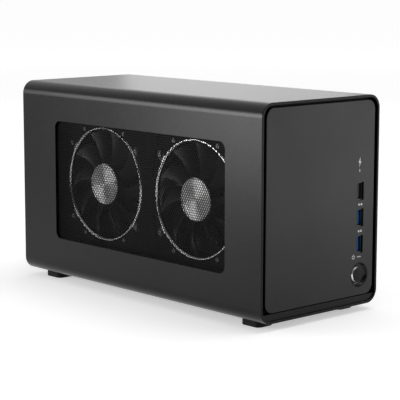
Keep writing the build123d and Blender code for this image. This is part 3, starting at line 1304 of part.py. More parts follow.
fan_phases = {"rear": FAN_PHASE_REAR, "front": FAN_PHASE_FRONT}
for place, y in fan_centres.items():
    axis_plane = Plane(origin=(ring_face, y, fan_z), x_dir=(0, -1, 0), z_dir=(-1, 0, 0))

    with BuildPart() as fan_ring:
        with BuildSketch(turning_plane(axis_plane)):
            Polygon(
                (ring_inner, -RING_HEIGHT),
                (ring_outer, -RING_HEIGHT),
                (ring_outer, -RING_PROUD),
                (ring_outer - RING_BAND / 3, 0),
                (ring_inner + RING_BAND / 3, 0),
                (ring_inner, -RING_PROUD),
                align=None,
            )
        revolve(axis=turning_axis(axis_plane))
        lug_plane = axis_plane.offset(-RING_PROUD)
        with BuildSketch(lug_plane):
            for angle in RING_LUG_ANGLES:
                with PolarLocations(ring_lug_radius, 1, start_angle=angle):
                    Circle(RING_LUG_WIDTH / 2)
                with PolarLocations((ring_outer + ring_lug_radius) / 2, 1, start_angle=angle):
                    Rectangle(RING_LUG_REACH + RING_BAND, RING_LUG_WIDTH)
            Circle(ring_inner + RING_BAND / 3, mode=Mode.SUBTRACT)
            for angle in RING_LUG_ANGLES:
                with PolarLocations(ring_lug_radius, 1, start_angle=angle):
                    Circle(FAN_SCREW_DIAMETER / 2 + SHAFT_CLEARANCE, mode=Mode.SUBTRACT)
        extrude(amount=RING_LUG_SHEET)
    fan_ring.part.label = f"{place}_fan_ring"
    export_step(fan_ring.part, f"parts/{place}_fan_ring.step")

    with BuildPart() as fan_base:
        base_plane = Plane(origin=(fan_base_back, y, fan_z), x_dir=(0, -1, 0), z_dir=(-1, 0, 0))
        with BuildSketch(base_plane):
            Circle(FAN_HUB_DIAMETER / 2)
            for angle in FAN_ARM_ANGLES:
                with PolarLocations(fan_arm_reach / 2, 1, start_angle=angle):
                    Rectangle(fan_arm_reach, FAN_ARM_WIDTH)
                with PolarLocations(fan_arm_reach, 1, start_angle=angle):
                    Circle(FAN_ARM_WIDTH / 2)
            Circle(FAN_SHAFT_DIAMETER / 2 + SHAFT_CLEARANCE, mode=Mode.SUBTRACT)
        extrude(amount=FAN_BASE_SHEET)
        with BuildSketch(base_plane.offset(FAN_BASE_SHEET)):
            for angle in FAN_ARM_ANGLES:
                with PolarLocations(fan_arm_reach, 1, start_angle=angle):
                    Circle(FAN_ARM_WIDTH / 2)
        extrude(amount=fan_base_face - shroud_inside)
        with BuildSketch(facing_left(shroud_inside)):
            with Locations(*fan_screw_places):
                Circle(FAN_SCREW_DIAMETER / 2 + SHAFT_CLEARANCE)
        extrude(amount=-FAN_SCREW_LENGTH, mode=Mode.SUBTRACT)
    fan_base.part.label = f"{place}_fan_base"
    export_step(fan_base.part, f"parts/{place}_fan_base.step")

    with BuildPart(axis_plane) as fan_rotor:
        with BuildSketch(axis_plane.offset(-CAP_THICKNESS)):
            Circle(FAN_HUB_DIAMETER / 2)
        extrude(amount=CAP_THICKNESS - FAN_HUB_DEPTH)
        with BuildSketch(axis_plane.offset(-FAN_HUB_DEPTH)):
            Circle(FAN_SHAFT_DIAMETER / 2)
        extrude(amount=-FAN_BASE_SHEET - SLIDE_CLEARANCE)
        with Locations((0, 0, -BLADE_SINK)):
            with PolarLocations(0, FAN_BLADES, start_angle=fan_phases[place]):
                add(fan_blade.part)
    fan_rotor.part.label = f"{place}_fan"
    export_step(fan_rotor.part, f"parts/{place}_fan.step")

    with BuildPart() as hub_cap:
        cap_radius = FAN_HUB_DIAMETER / 2
        with BuildSketch(turning_plane(axis_plane)):
            Polygon(
                (0, -CAP_THICKNESS),
                (cap_radius, -CAP_THICKNESS),
                (cap_radius, -CAP_DISH),
                (cap_radius - CAP_RIM / 3, 0),
                (cap_radius - CAP_RIM, 0),
                (cap_radius - CAP_RIM, -CAP_DISH),
                (cap_radius - CAP_RIM - CAP_GROOVE, -CAP_DISH),
                (cap_radius - CAP_RIM - CAP_GROOVE, -CAP_DISH / 4),
                (CAP_DIMPLE / 2, -CAP_DISH / 2),
                (CAP_DIMPLE / 4, -CAP_DISH),
                (0, -CAP_DISH),
                align=None,
            )
        revolve(axis=turning_axis(axis_plane))
    hub_cap.part.label = f"{place}_hub_cap"
    export_step(hub_cap.part, f"parts/{place}_hub_cap.step")

# Small screws that hold each fan's arms and each ring's lugs to the shroud
with BuildPart() as fan_screws:
    for seat, places, length in (
        (facing_left(card_face), fan_screw_places, FAN_SCREW_LENGTH),
        (facing_left(card_face - RING_LUG_SHEET), lug_screw_places, RING_LUG_SHEET + SHROUD_WALL),
    ):
        with BuildSketch(seat):
            with Locations(*places):
                Circle(FAN_SCREW_HEAD_DIAMETER / 2)
        extrude(amount=FAN_SCREW_HEAD_HEIGHT)
        with BuildSketch(seat):
            with Locations(*places):
                Circle(FAN_SCREW_DIAMETER / 2)
        extrude(amount=-length)
fan_screws.part.label = "fan_screws"
export_step(fan_screws.part, "parts/fan_screws.step")

# Card bracket with its display ports, screwed to the back plate's ledge
display_x = card_front_x - DISPLAY_PORT_WIDTH / 2
with BuildPart() as card_bracket:
    with BuildSketch(facing_front(back_inner)):
        with Locations((bracket_mid_x, (bracket_bottom + ledge_top) / 2)):
            Rectangle(BRACKET_WIDTH, ledge_top - bracket_bottom)
        with Locations((display_x, opening_mid_z)):
            with GridLocations(0, display_port_pitch, 1, DISPLAY_PORT_COUNT):
                Rectangle(DISPLAY_PORT_WIDTH + 2 * FIT, DISPLAY_PORT_HEIGHT + 2 * FIT, mode=Mode.SUBTRACT)
        with Locations((opening_x[1], opening_mid_z)):
            with GridLocations(0, bracket_vent_pitch, 1, BRACKET_VENTS):
                Rectangle(SLOT_OPENING - 2 * SHROUD_WALL, bracket_vent_pitch / 2, mode=Mode.SUBTRACT)
    extrude(amount=BRACKET_SHEET)
    with BuildSketch(level(ledge_top)):
        tab_length = back_outer + LEDGE_DEPTH - back_inner + BRACKET_SHEET
        with Locations((bracket_mid_x, back_outer + LEDGE_DEPTH - tab_length / 2)):
            Rectangle(BRACKET_WIDTH, tab_length)
        with Locations(*[(x, ledge_screw_y) for x in bracket_screws_x]):
            Circle(SCREW_DIAMETER / 2 + SHAFT_CLEARANCE, mode=Mode.SUBTRACT)
    extrude(amount=BRACKET_SHEET)
card_bracket.part.label = "card_bracket"
export_step(card_bracket.part, "parts/card_bracket.step")

with BuildPart() as display_ports:
    with BuildSketch(facing_front(display_back)):
        with Locations((display_x, opening_mid_z)):
            with GridLocations(0, display_port_pitch, 1, DISPLAY_PORT_COUNT):
                Rectangle(DISPLAY_PORT_WIDTH, DISPLAY_PORT_HEIGHT)
    extrude(amount=DISPLAY_PORT_DEPTH)
    with BuildSketch(facing_front(display_back)):
        with Locations((display_x, opening_mid_z)):
            with GridLocations(0, display_port_pitch, 1, DISPLAY_PORT_COUNT):
                Rectangle(
                    DISPLAY_PORT_WIDTH - 2 * DISPLAY_PORT_WALL,
                    DISPLAY_PORT_HEIGHT - 2 * DISPLAY_PORT_WALL,
                )
                Rectangle(DISPLAY_TONGUE_WIDTH, DISPLAY_TONGUE_HEIGHT, mode=Mode.SUBTRACT)
    extrude(amount=DISPLAY_PORT_POCKET, mode=Mode.SUBTRACT)
display_ports.part.label = "display_ports"
export_step(display_ports.part, "parts/display_ports.step")

# Screws of the chassis, all alike: through the back plate, into the standoffs and into the slot ledge
back_screws_at = [(x, tray_screw_z) for x in tray_screw_x] + supply_screws_at
ledge_screws_at = [(x, ledge_screw_y) for x in bracket_screws_x]
with BuildPart() as chassis_screws:
    for seat, places in (
        (facing_back(back_outer), [(-x, z) for x, z in back_screws_at]),
        (level(main_board_top), standoff_places),
        (level(ledge_top + BRACKET_SHEET), ledge_screws_at),
    ):
        with BuildSketch(seat):
            with Locations(*places):
                Circle(SCREW_HEAD_DIAMETER / 2)
        extrude(amount=SCREW_HEAD_HEIGHT)
        with BuildSketch(seat):
            with Locations(*places):
                Circle(SCREW_DIAMETER / 2)
        extrude(amount=-SCREW_LENGTH)
chassis_screws.part.label = "chassis_screws"
export_step(chassis_screws.part, "parts/chassis_screws.step")
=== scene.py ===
import json
import math

import bmesh
import bpy
from mathutils import Matrix, Vector


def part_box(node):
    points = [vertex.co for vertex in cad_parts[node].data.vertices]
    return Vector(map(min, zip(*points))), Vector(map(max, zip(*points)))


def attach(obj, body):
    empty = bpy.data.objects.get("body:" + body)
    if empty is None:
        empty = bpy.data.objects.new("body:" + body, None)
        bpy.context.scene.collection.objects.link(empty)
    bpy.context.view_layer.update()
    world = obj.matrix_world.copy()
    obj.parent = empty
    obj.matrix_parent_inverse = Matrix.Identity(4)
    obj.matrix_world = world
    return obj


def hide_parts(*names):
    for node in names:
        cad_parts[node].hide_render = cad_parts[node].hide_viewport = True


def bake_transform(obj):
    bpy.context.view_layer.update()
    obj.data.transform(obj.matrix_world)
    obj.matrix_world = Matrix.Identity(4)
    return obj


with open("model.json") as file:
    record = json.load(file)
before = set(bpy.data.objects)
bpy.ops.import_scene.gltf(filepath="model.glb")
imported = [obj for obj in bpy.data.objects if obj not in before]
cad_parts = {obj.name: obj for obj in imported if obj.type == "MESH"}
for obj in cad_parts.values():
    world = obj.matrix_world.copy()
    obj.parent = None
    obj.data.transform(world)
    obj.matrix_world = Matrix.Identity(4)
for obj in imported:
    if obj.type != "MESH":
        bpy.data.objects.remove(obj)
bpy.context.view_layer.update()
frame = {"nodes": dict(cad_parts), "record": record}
nodes = frame["nodes"]
scene = bpy.context.scene
MM = 0.001
FRONT = (0, -1, 0)
LEFT = (-1, 0, 0)
UP = (0, 0, 1)


def link(name, data):
    """A new object in the scene."""
    obj = bpy.data.objects.new(name, data)
    scene.collection.objects.link(obj)
    return obj


def middle(node):
    low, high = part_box(node)
    return [(a + b) / 2 for a, b in zip(low, high)]


# Camera at the photograph's place, angle and lens
CAMERA_PLACE = Vector((-797.61, -883.05, 259.13)) * MM
CAMERA_YAW = math.radians(42.3985)
CAMERA_PITCH = math.radians(8.828)
CAMERA_ROLL = math.radians(0.0855)
CAMERA_LENS = 134.605
CAMERA_SENSOR = 36
CAMERA_NEAR = 0.05
CAMERA_FAR = 100


def add_camera():
    data = bpy.data.cameras.new("camera")
    data.lens = CAMERA_LENS
    data.sensor_width = CAMERA_SENSOR
    data.sensor_fit = "HORIZONTAL"
    data.clip_start = CAMERA_NEAR
    data.clip_end = CAMERA_FAR
    camera = link("camera", data)
    yaw = Matrix.Rotation(-CAMERA_YAW, 4, "Z")
    pitch = Matrix.Rotation(math.pi / 2 - CAMERA_PITCH, 4, "X")
    roll = Matrix.Rotation(CAMERA_ROLL, 4, "Z")
    camera.matrix_world = Matrix.Translation(CAMERA_PLACE) @ yaw @ pitch @ roll
    scene.camera = camera


add_camera()


# Shader nodes
def add_node(tree, kind, sources, **settings):
    """A node with its settings, its first inputs linked to the sources in order."""
    node = tree.nodes.new(kind)
    for name, value in settings.items():
        setattr(node, name, value)
    for source, target in zip(sources, node.inputs):
        tree.links.new(source, target)
    return node


def object_place(tree):
    return tree.nodes.new("ShaderNodeTexCoord").outputs["Object"]


def length(tree, vector):
    return add_node(tree, "ShaderNodeVectorMath", [vector], operation="LENGTH").outputs["Value"]


def along(tree, vector, direction):
    """How far a vector reaches in a direction."""
    node = add_node(tree, "ShaderNodeVectorMath", [vector], operation="DOT_PRODUCT")
    node.inputs[1].default_value = direction
    return node.outputs["Value"]


def larger(tree, first, second):
    return add_node(tree, "ShaderNodeMath", [first, second], operation="MAXIMUM").outputs["Value"]


def product(tree, first, second):
    return add_node(tree, "ShaderNodeMath", [first, second], operation="MULTIPLY").outputs["Value"]


def span(tree, source, low, high, start, end):
    """A value that goes from low to high while its source goes from start to end."""
    node = add_node(tree, "ShaderNodeMapRange", [source])
    node.inputs["From Min"].default_value = start
    node.inputs["From Max"].default_value = end
    node.inputs["To Min"].default_value = low
    node.inputs["To Max"].default_value = high
    return node.outputs["Result"]


def ramp(tree, source, low, high, start, end):
    """A colour that goes from low to high while its source goes from start to end."""
    node = add_node(tree, "ShaderNodeValToRGB", [source])
    first, last = node.color_ramp.elements
    first.position = start
    first.color = (*low, 1)
    last.position = end
    last.color = (*high, 1)
    return node.outputs["Color"]


def noise(tree, scale, detail):
    texture = add_node(tree, "ShaderNodeTexNoise", [object_place(tree)])
    texture.inputs["Scale"].default_value = scale
    texture.inputs["Detail"].default_value = detail
    return texture.outputs["Fac"]


def shown_rays(tree):
    """Two values: 1 for a camera ray, and 1 for a camera, glossy or transmission ray."""
    rays = tree.nodes.new("ShaderNodeLightPath").outputs
    reflected = larger(tree, rays["Is Glossy Ray"], rays["Is Transmission Ray"])
    return rays["Is Camera Ray"], larger(tree, rays["Is Camera Ray"], reflected)


# Materials
NOISE_LOW = 0.3
NOISE_HIGH = 0.7
PATCH_DETAIL = 3
GRAIN_DETAIL = 2
QUARTER_TURN = 0.25


def finish(name, low, high, rough, patch, grain, bump, depth=0.1 * MM, metallic=0.0, specular=0.5, spun=0.0):
    """A material whose colour wanders in soft patches and its roughness in a fine grain.

    patch and grain are noise scales, bump and depth the grain's relief, and spun is how strongly
    the metal is brushed round the X axis.
    """
    material = bpy.data.materials.new(name)
    material.use_nodes = True
    tree = material.node_tree
    shader = tree.nodes["Principled BSDF"]
    shader.inputs["Metallic"].default_value = metallic
    shader.inputs["Specular IOR Level"].default_value = specular
    cloud = noise(tree, patch, PATCH_DETAIL)
    fine = noise(tree, grain, GRAIN_DETAIL)
    tree.links.new(ramp(tree, cloud, low, high, NOISE_LOW, NOISE_HIGH), shader.inputs["Base Color"])
    tree.links.new(span(tree, fine, *rough, NOISE_LOW, NOISE_HIGH), shader.inputs["Roughness"])
    relief = tree.nodes.new("ShaderNodeBump")
    relief.inputs["Strength"].default_value = bump
    relief.inputs["Distance"].default_value = depth
    tree.links.new(fine, relief.inputs["Height"])
    tree.links.new(relief.outputs["Normal"], shader.inputs["Normal"])
    if spun:
        shader.inputs["Anisotropic"].default_value = spun
        shader.inputs["Anisotropic Rotation"].default_value = QUARTER_TURN
        tangent = add_node(tree, "ShaderNodeTangent", [], direction_type="RADIAL", axis="X")
        tree.links.new(tangent.outputs["Tangent"], shader.inputs["Tangent"])
    return material


def grey(value):
    return (value, value, value)


FINISHES = {
    "sleeve_metal": dict(low=grey(0.024), high=grey(0.027), rough=(0.24, 0.30), metallic=1.0,
                         patch=14, grain=2600, bump=0.10),
    "panel_metal": dict(low=grey(0.028), high=grey(0.033), rough=(0.29, 0.36), metallic=1.0,
                        patch=18, grain=2600, bump=0.10),
    "frame_plastic": dict(low=grey(0.004), high=grey(0.007), rough=(0.42, 0.52), specular=0.15,
                          patch=40, grain=2000, bump=0.08),
    "mesh_metal": dict(low=grey(0.002), high=grey(0.004), rough=(0.45, 0.60), specular=0.12,
                       patch=60, grain=3000, bump=0.10),
    "dark_plastic": dict(low=grey(0.010), high=grey(0.014), rough=(0.40, 0.55),
                         patch=60, grain=1800, bump=0.15),
    "fan_plastic": dict(low=grey(0.003), high=grey(0.005), rough=(0.28, 0.38), specular=0.18,
                        patch=50, grain=1500, bump=0.08),
    "blade_plastic": dict(low=grey(0.003), high=grey(0.005), rough=(0.28, 0.38), specular=0.18,
                          patch=30, grain=2500, bump=0.05),
    "shroud_plastic": dict(low=grey(0.0015), high=grey(0.003), rough=(0.40, 0.52), specular=0.06,
                           patch=40, grain=1500, bump=0.10),
    "blue_plastic": dict(low=(0.004, 0.080, 0.26), high=(0.006, 0.100, 0.31), rough=(0.35, 0.45),
                         specular=0.2, patch=200, grain=1500, bump=0.05),
    "foot_rubber": dict(low=grey(0.004), high=grey(0.006), rough=(0.65, 0.80), specular=0.2,
                        patch=80, grain=1500, bump=0.25),
    "plated_steel": dict(low=grey(0.40), high=grey(0.52), rough=(0.28, 0.42), metallic=1.0,
                         patch=120, grain=1800, bump=0.06),
    "shell_steel": dict(low=grey(0.12), high=grey(0.17), rough=(0.28, 0.42), metallic=1.0,
                        patch=120, grain=1800, bump=0.06),
    "black_steel": dict(low=grey(0.014), high=grey(0.020), rough=(0.45, 0.60),
                        patch=60, grain=1600, bump=0.35, depth=0.15 * MM),
    "bright_trim": dict(low=grey(0.84), high=grey(0.90), rough=(0.16, 0.24), metallic=1.0,
                        patch=90, grain=2400, bump=0.04),
    "spun_trim": dict(low=grey(0.50), high=grey(0.58), rough=(0.36, 0.42), metallic=1.0,
                      patch=90, grain=2400, bump=0.04, spun=1.0),
    "button_cap": dict(low=grey(0.012), high=grey(0.016), rough=(0.25, 0.34), metallic=1.0,
                       patch=80, grain=2600, bump=0.05),
    "bezel_black": dict(low=grey(0.002), high=grey(0.004), rough=(0.20, 0.28), specular=0.25,
                        patch=120, grain=2600, bump=0.04),
    "circuit_board": dict(low=(0.006, 0.014, 0.010), high=(0.010, 0.024, 0.016), rough=(0.32, 0.50),
                          patch=260, grain=900, bump=0.20),
    "bare_aluminium": dict(low=grey(0.30), high=grey(0.40), rough=(0.32, 0.46), metallic=1.0,
                           patch=60, grain=1800, bump=0.06),
    "chip_top": dict(low=grey(0.03), high=grey(0.04), rough=(0.10, 0.20), metallic=0.3,
                     patch=90, grain=1200, bump=0.03),
    "print_white": dict(low=grey(0.62), high=grey(0.72), rough=(0.50, 0.60),
                        patch=300, grain=2000, bump=0.05),
    "contact_gold": dict(low=(0.55, 0.38, 0.14), high=(0.66, 0.46, 0.18), rough=(0.25, 0.35), metallic=1.0,
                         patch=300, grain=2000, bump=0.05),
}
RING_FINISH = dict(low=grey(0.92), high=grey(0.97), rough=(0.14, 0.22), metallic=1.0,
                   patch=90, grain=2400, bump=0.04)
FAN_RINGS = ("rear_fan_ring", "front_fan_ring")
FINISHES.update({node: RING_FINISH for node in FAN_RINGS})
MATERIALS = {name: finish(name, **settings) for name, settings in FINISHES.items()}


def masked(material, colour, mask):
    """Gives a material another base colour where mask, which adds its nodes to the tree, is 1."""
    tree = material.node_tree
    base = tree.nodes["Principled BSDF"].inputs["Base Color"]
    mix = tree.nodes.new("ShaderNodeMix")
    mix.data_type = "RGBA"
    mix.inputs["B"].default_value = (*colour, 1)
    tree.links.new(mask(tree), mix.inputs["Factor"])
    tree.links.new(base.links[0].from_socket, mix.inputs["A"])
    tree.links.new(mix.outputs["Result"], base)


def beyond(centre, across, radius, blend):
    """A mask that is 1 further than radius from a centre, counted only across the given directions."""
    def mask(tree):
        shift = add_node(tree, "ShaderNodeMapping", [object_place(tree)])
        shift.inputs["Location"].default_value = [-c * a for c, a in zip(centre, across)]
        shift.inputs["Scale"].default_value = across
        distance = length(tree, shift.outputs["Vector"])
        return span(tree, distance, 0, 1, radius - blend / 2, radius + blend / 2)
    return mask


def turned_from(direction, start, end):
    """A mask that is 1 where a face turns away from a direction, from one cosine to a smaller one."""
    def mask(tree):
        surface = tree.nodes.new("ShaderNodeNewGeometry")
        facing = along(tree, surface.outputs["True Normal"], direction)
        return span(tree, facing, 1, 0, end, start)
    return mask


# Polished fan rings with dull lugs outside the rim
LUG_TONE = 0.07
RIM_MARGIN = 0.25 * MM
RIM_BLEND = 0.3 * MM
for node in FAN_RINGS:
    low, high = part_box(node)
    rim = (high[1] - low[1]) / 2 + RIM_MARGIN
    masked(MATERIALS[node], grey(LUG_TONE), beyond(middle(node), (0, 1, 1), rim, RIM_BLEND))

# Dark button cap with a polished rim
CAP_RIM_TONE = 0.80
CAP_FACE_COSINE = 0.97
CAP_RIM_COSINE = 0.90
masked(MATERIALS["button_cap"], grey(CAP_RIM_TONE), turned_from(FRONT, CAP_FACE_COSINE, CAP_RIM_COSINE))

# Sleeve with cut ends darker than its faces
SLEEVE_END_TONE = 0.016
SLEEVE_END = 0.1 * MM
sleeve_low, sleeve_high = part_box("outer_sleeve")
sleeve_reach = (sleeve_high[1] - sleeve_low[1]) / 2 - SLEEVE_END
sleeve_ends = beyond(middle("outer_sleeve"), (0, 1, 0), sleeve_reach, SLEEVE_END)
masked(MATERIALS["sleeve_metal"], grey(SLEEVE_END_TONE), sleeve_ends)

# Painted highlight: fan blade edges get a lighter colour where the light would catch them
BLADE_EDGE_HIGHLIGHT_TONE = 0.06
BLADE_FACE_COSINE = 0.45
BLADE_EDGE_COSINE = 0.25
painted_blade_highlight = turned_from(LEFT, BLADE_FACE_COSINE, BLADE_EDGE_COSINE)
# Painted highlight on the blade edges, mixed into the blade material's colour
masked(MATERIALS["blade_plastic"], grey(BLADE_EDGE_HIGHLIGHT_TONE), painted_blade_highlight)

# Each node takes its slot's finish, apart from those named here
NODE_FINISHES = {
    "rear_fan_ring": "rear_fan_ring",
    "front_fan_ring": "front_fan_ring",
    "rear_hub_cap": "spun_trim",
    "front_hub_cap": "spun_trim",
    "rear_fan": "blade_plastic",
    "front_fan": "blade_plastic",
    "card_shroud": "shroud_plastic",
    "fan_screws": "shell_steel",
    "lower_data_port_shell": "shell_steel",
    "upper_data_port_shell": "shell_steel",
    "charge_port_shell": "shell_steel",
    "button_bezel": "bezel_black",
    "power_button": "button_cap",
}
for entry in frame["record"]["subparts"]:
    node = entry["node"]
    mesh = nodes[node].data
    mesh.materials.clear()
    mesh.materials.append(MATERIALS[NODE_FINISHES.get(node, entry["material_slot"])])


# Pieces
def piece(name, build, body, slot, material=None, replaces=()):
    """A mesh filled by build, which gets a bmesh, riding on a body."""
    mesh = bpy.data.meshes.new(name)
    work = bmesh.new()
    build(work)
    work.to_mesh(mesh)
    work.free()
    obj = link(name, mesh)
    mesh.materials.append(MATERIALS[material or slot])
    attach(obj, body)
    if replaces:
        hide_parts(*replaces)
    return obj


def add_block(work, low, high, bevel=0.0):
    """A box between two corners in metres, its edges broken by bevel."""
    made = bmesh.ops.create_cube(work, size=1)["verts"]
    centre = (Vector(low) + Vector(high)) / 2
    size = Vector(high) - Vector(low)
    for vert in made:
        vert.co = vert.co * size + centre
    if bevel:
        edges = list({edge for vert in made for edge in vert.link_edges})
        bmesh.ops.bevel(work, geom=edges, offset=bevel, segments=2, affect="EDGES", profile=0.5)


def add_frame(work, outer, inner):
    """Faces between two closed rows of as many vertices."""
    for i in range(len(outer)):
        j = (i + 1) % len(outer)
        work.faces.new((outer[i], inner[i], inner[j], outer[j]))


def thicken(obj, thickness, offset):
    solid = obj.modifiers.new("thickness", "SOLIDIFY")
    solid.thickness = thickness
    solid.offset = offset


def thicken_rightward(obj, thickness):
    """Thickens a flat upright sheet towards +X, whichever way its faces look."""
    thicken(obj, thickness, 1 if obj.data.polygons[0].normal.x > 0 else -1)


# Perforated sheet behind the window: staggered six-sided holes inside a plain border
HOLE_PITCH = 2.1 * MM
HOLE_RADIUS = 1.0 * MM
HOLE_SIDES = 6
SAME_CORNER = 0.002 * MM
SHEET = 0.4 * MM
SHEET_BORDER = 3.0 * MM
BORDER_SHEET = 0.3 * MM
sheet_low, sheet_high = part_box("side_mesh")


def build_holes(work):
    row_pitch = HOLE_PITCH * math.cos(math.radians(30))
    cell_radius = HOLE_PITCH / math.sqrt(3)
    turns = [2 * math.pi * (step + 0.5) / HOLE_SIDES for step in range(HOLE_SIDES)]

    def corners(y, z, radius):
        return [
            work.verts.new((sheet_low[0], y + radius * math.cos(turn), z + radius * math.sin(turn)))
            for turn in turns
        ]

    start_y = sheet_low[1] + SHEET_BORDER
    start_z = sheet_low[2] + SHEET_BORDER
    columns = int((sheet_high[1] - SHEET_BORDER - start_y) / HOLE_PITCH)
    rows = int((sheet_high[2] - SHEET_BORDER - start_z) / row_pitch)
    for row in range(rows):
        z = start_z + (row + 0.5) * row_pitch
        for column in range(columns):
            y = start_y + (column + 0.5 + 0.5 * (row % 2)) * HOLE_PITCH
            add_frame(work, corners(y, z, cell_radius), corners(y, z, HOLE_RADIUS))
    bmesh.ops.remove_doubles(work, verts=work.verts, dist=SAME_CORNER)


def build_border(work):
    def corners(inset):
        low_y = sheet_low[1] + inset
        high_y = sheet_high[1] - inset
        low_z = sheet_low[2] + inset
        high_z = sheet_high[2] - inset
        places = ((low_y, low_z), (high_y, low_z), (high_y, high_z), (low_y, high_z))
        return [work.verts.new((sheet_high[0], y, z)) for y, z in places]

    add_frame(work, corners(0), corners(SHEET_BORDER + HOLE_PITCH))


sheet = piece("perforated_sheet", build_holes, "case", "mesh_metal", replaces=("side_mesh",))
thicken_rightward(sheet, SHEET)
border = piece("sheet_border", build_border, "case", "mesh_metal")
thicken_rightward(border, BORDER_SHEET)

# Heatsink with its close fins
FIN_PITCH = 1.6 * MM
FIN = 0.5 * MM
HEATSINK_PLATE = 2.5 * MM
PLATE_BEVEL = 0.3 * MM
heatsink_low, heatsink_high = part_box("heatsink")


def build_fins(work):
    plate_x = heatsink_high[0] - HEATSINK_PLATE
    add_block(work, (plate_x, heatsink_low[1], heatsink_low[2]), heatsink_high, PLATE_BEVEL)
    count = int((heatsink_high[2] - heatsink_low[2] - FIN) / FIN_PITCH) + 1
    start = (heatsink_low[2] + heatsink_high[2] - (count - 1) * FIN_PITCH - FIN) / 2
    for fin in range(count):
        z = start + fin * FIN_PITCH
        add_block(work, (heatsink_low[0], heatsink_low[1], z), (plate_x, heatsink_high[1], z + FIN))


piece("close_fins", build_fins, "chassis", "bare_aluminium", replaces=("heatsink",))

# Contacts on the left face of each port's tongue
TONGUE = 1.84 * MM
TONGUE_SHIFT = 0.9 * MM
CONTACT_COUNT = 4
CONTACT_PITCH = 2.4 * MM
CONTACT_WIDTH = 1.0 * MM
CONTACT_START = 0.8 * MM
CONTACT_END = 7.5 * MM
CONTACT_PROUD = 0.12 * MM
CONTACT_SUNK = 0.05 * MM
CONTACT_BEVEL = 0.03 * MM


def build_contacts(work):
    for name in ("lower_data_port_tongue", "upper_data_port_tongue", "charge_port_tongue"):
        port_x, _, port_z = middle(name)
        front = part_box(name)[0][1]
        face = port_x + TONGUE_SHIFT - TONGUE / 2
        for step in range(CONTACT_COUNT):
            z = port_z + (step - (CONTACT_COUNT - 1) / 2) * CONTACT_PITCH
            add_block(
                work,
                (face - CONTACT_PROUD, front + CONTACT_START, z - CONTACT_WIDTH / 2),
                (face + CONTACT_SUNK, front + CONTACT_END, z + CONTACT_WIDTH / 2),
                CONTACT_BEVEL,
            )


piece("port_contacts", build_contacts, "case", "bright_trim", "contact_gold")

# Button cap with a shallow dome, a chamfered rim, a collar and a stem
CAP_DOME = ((1.6, 0.02), (3.2, 0.06), (4.8, 0.14), (5.65, 0.20))
CAP_RADIUS = 6.4
CAP_RIM_DEPTH = 0.95
COLLAR_RADIUS = 8.2
COLLAR_FRONT = 5.85
COLLAR_BACK = 6.85
STEM_RADIUS = 1.5
CAP_STEPS = 96


def build_cap(work):
    """Turns a profile, radius and depth from the tip in millimetres, about the button's axis."""
    low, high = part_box("power_button")
    x, _, z = middle("power_button")
    profile = (
        *CAP_DOME,
        (CAP_RADIUS, CAP_RIM_DEPTH),
        (CAP_RADIUS, COLLAR_FRONT),
        (COLLAR_RADIUS, COLLAR_FRONT),
        (COLLAR_RADIUS, COLLAR_BACK),
        (STEM_RADIUS, COLLAR_BACK),
        (STEM_RADIUS, (high[1] - low[1]) / MM),
    )
    turns = [2 * math.pi * step / CAP_STEPS for step in range(CAP_STEPS)]
    rings = []
    for radius, depth in profile:
        y = low[1] + depth * MM
        rings.append([
            work.verts.new((x + radius * MM * math.cos(turn), y, z + radius * MM * math.sin(turn)))
            for turn in turns
        ])
    tip = work.verts.new((x, low[1], z))
    for step in range(CAP_STEPS):
        work.faces.new((tip, rings[0][step], rings[0][(step + 1) % CAP_STEPS]))
    for inner, outer in zip(rings, rings[1:]):
        add_frame(work, outer, inner)
    work.faces.new(rings[-1])
    bmesh.ops.recalc_face_normals(work, faces=work.faces)


piece("chamfered_cap", build_cap, "power_button", "button_metal", "button_cap", replaces=("power_button",))

# Spring behind the cap, copied from its part; the real one shortens as the cap goes in
coil = link("coil_spring", nodes["button_spring"].data.copy())
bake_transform(coil)
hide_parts("button_spring")

# Printed marks beside the ports, for charge, data and power
PRINT_DEPTH = 0.03 * MM
RING_STEPS = 18
panel_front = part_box("front_panel")[0][1]


def arc(radius, start, end):
    turns = [math.radians(start + (end - start) * step / RING_STEPS) for step in range(RING_STEPS + 1)]
    return [(radius * math.cos(turn), radius * math.sin(turn)) for turn in turns]


def bar(half_width, low, high):
    return ((-half_width, high), (-half_width, low), (half_width, low), (half_width, high))


BOLT = ((0.7, 3.8), (-1.6, -0.4), (-0.2, -0.4), (-0.7, -3.8), (1.6, 0.7), (0.2, 0.7))
DIAMOND = ((0, 1.1), (-1.1, 0), (0, -1.1), (1.1, 0))
OPEN_RING = arc(1.6, 120, 420) + arc(1.15, 420, 120)
MARKS = (
    (BOLT, -1.5, 115.2),
    (bar(0.4, -1.0, 1.0), -1.5, 108.9),
    (DIAMOND, -1.6, 83.0),
    (DIAMOND, 1.0, 83.0),
    (DIAMOND, -1.6, 62.6),
    (DIAMOND, 1.0, 62.6),
    (OPEN_RING, -7.0, 43.2),
    (bar(0.22, 0.4, 2.0), -7.0, 43.2),
    (bar(2.0, -0.3, 0.3), -0.8, 43.0),
)


def build_marks(work):
    """Flat shapes: an outline, its place right of the ports' column and its height, in millimetres."""
    column = middle("charge_port_shell")[0]
    y = panel_front - PRINT_DEPTH
    for outline, right, height in MARKS:
        verts = [work.verts.new((column + (right + x) * MM, y, (height + z) * MM)) for x, z in outline]
        work.faces.new(verts)


marks = piece("panel_marks", build_marks, "case", "panel_metal", "print_white")
thicken(marks, PRINT_DEPTH, offset=0)

# White floor that keeps the shadow and is dimmer at the far left
FLOOR_REACH = 40
FLOOR_TONE = 0.85
FLOOR_NEAR = 0.5
FLOOR_FAR = 3.0
FLOOR_NEAR_GLOW = 0.45
FLOOR_FAR_GLOW = 0.64
FLOOR_DIM_SIDE = (-0.85, 0.53, 0)
FLOOR_DIM_START = 0.15
FLOOR_DIM_END = 0.6
FLOOR_DIM_LEVEL = 0.1


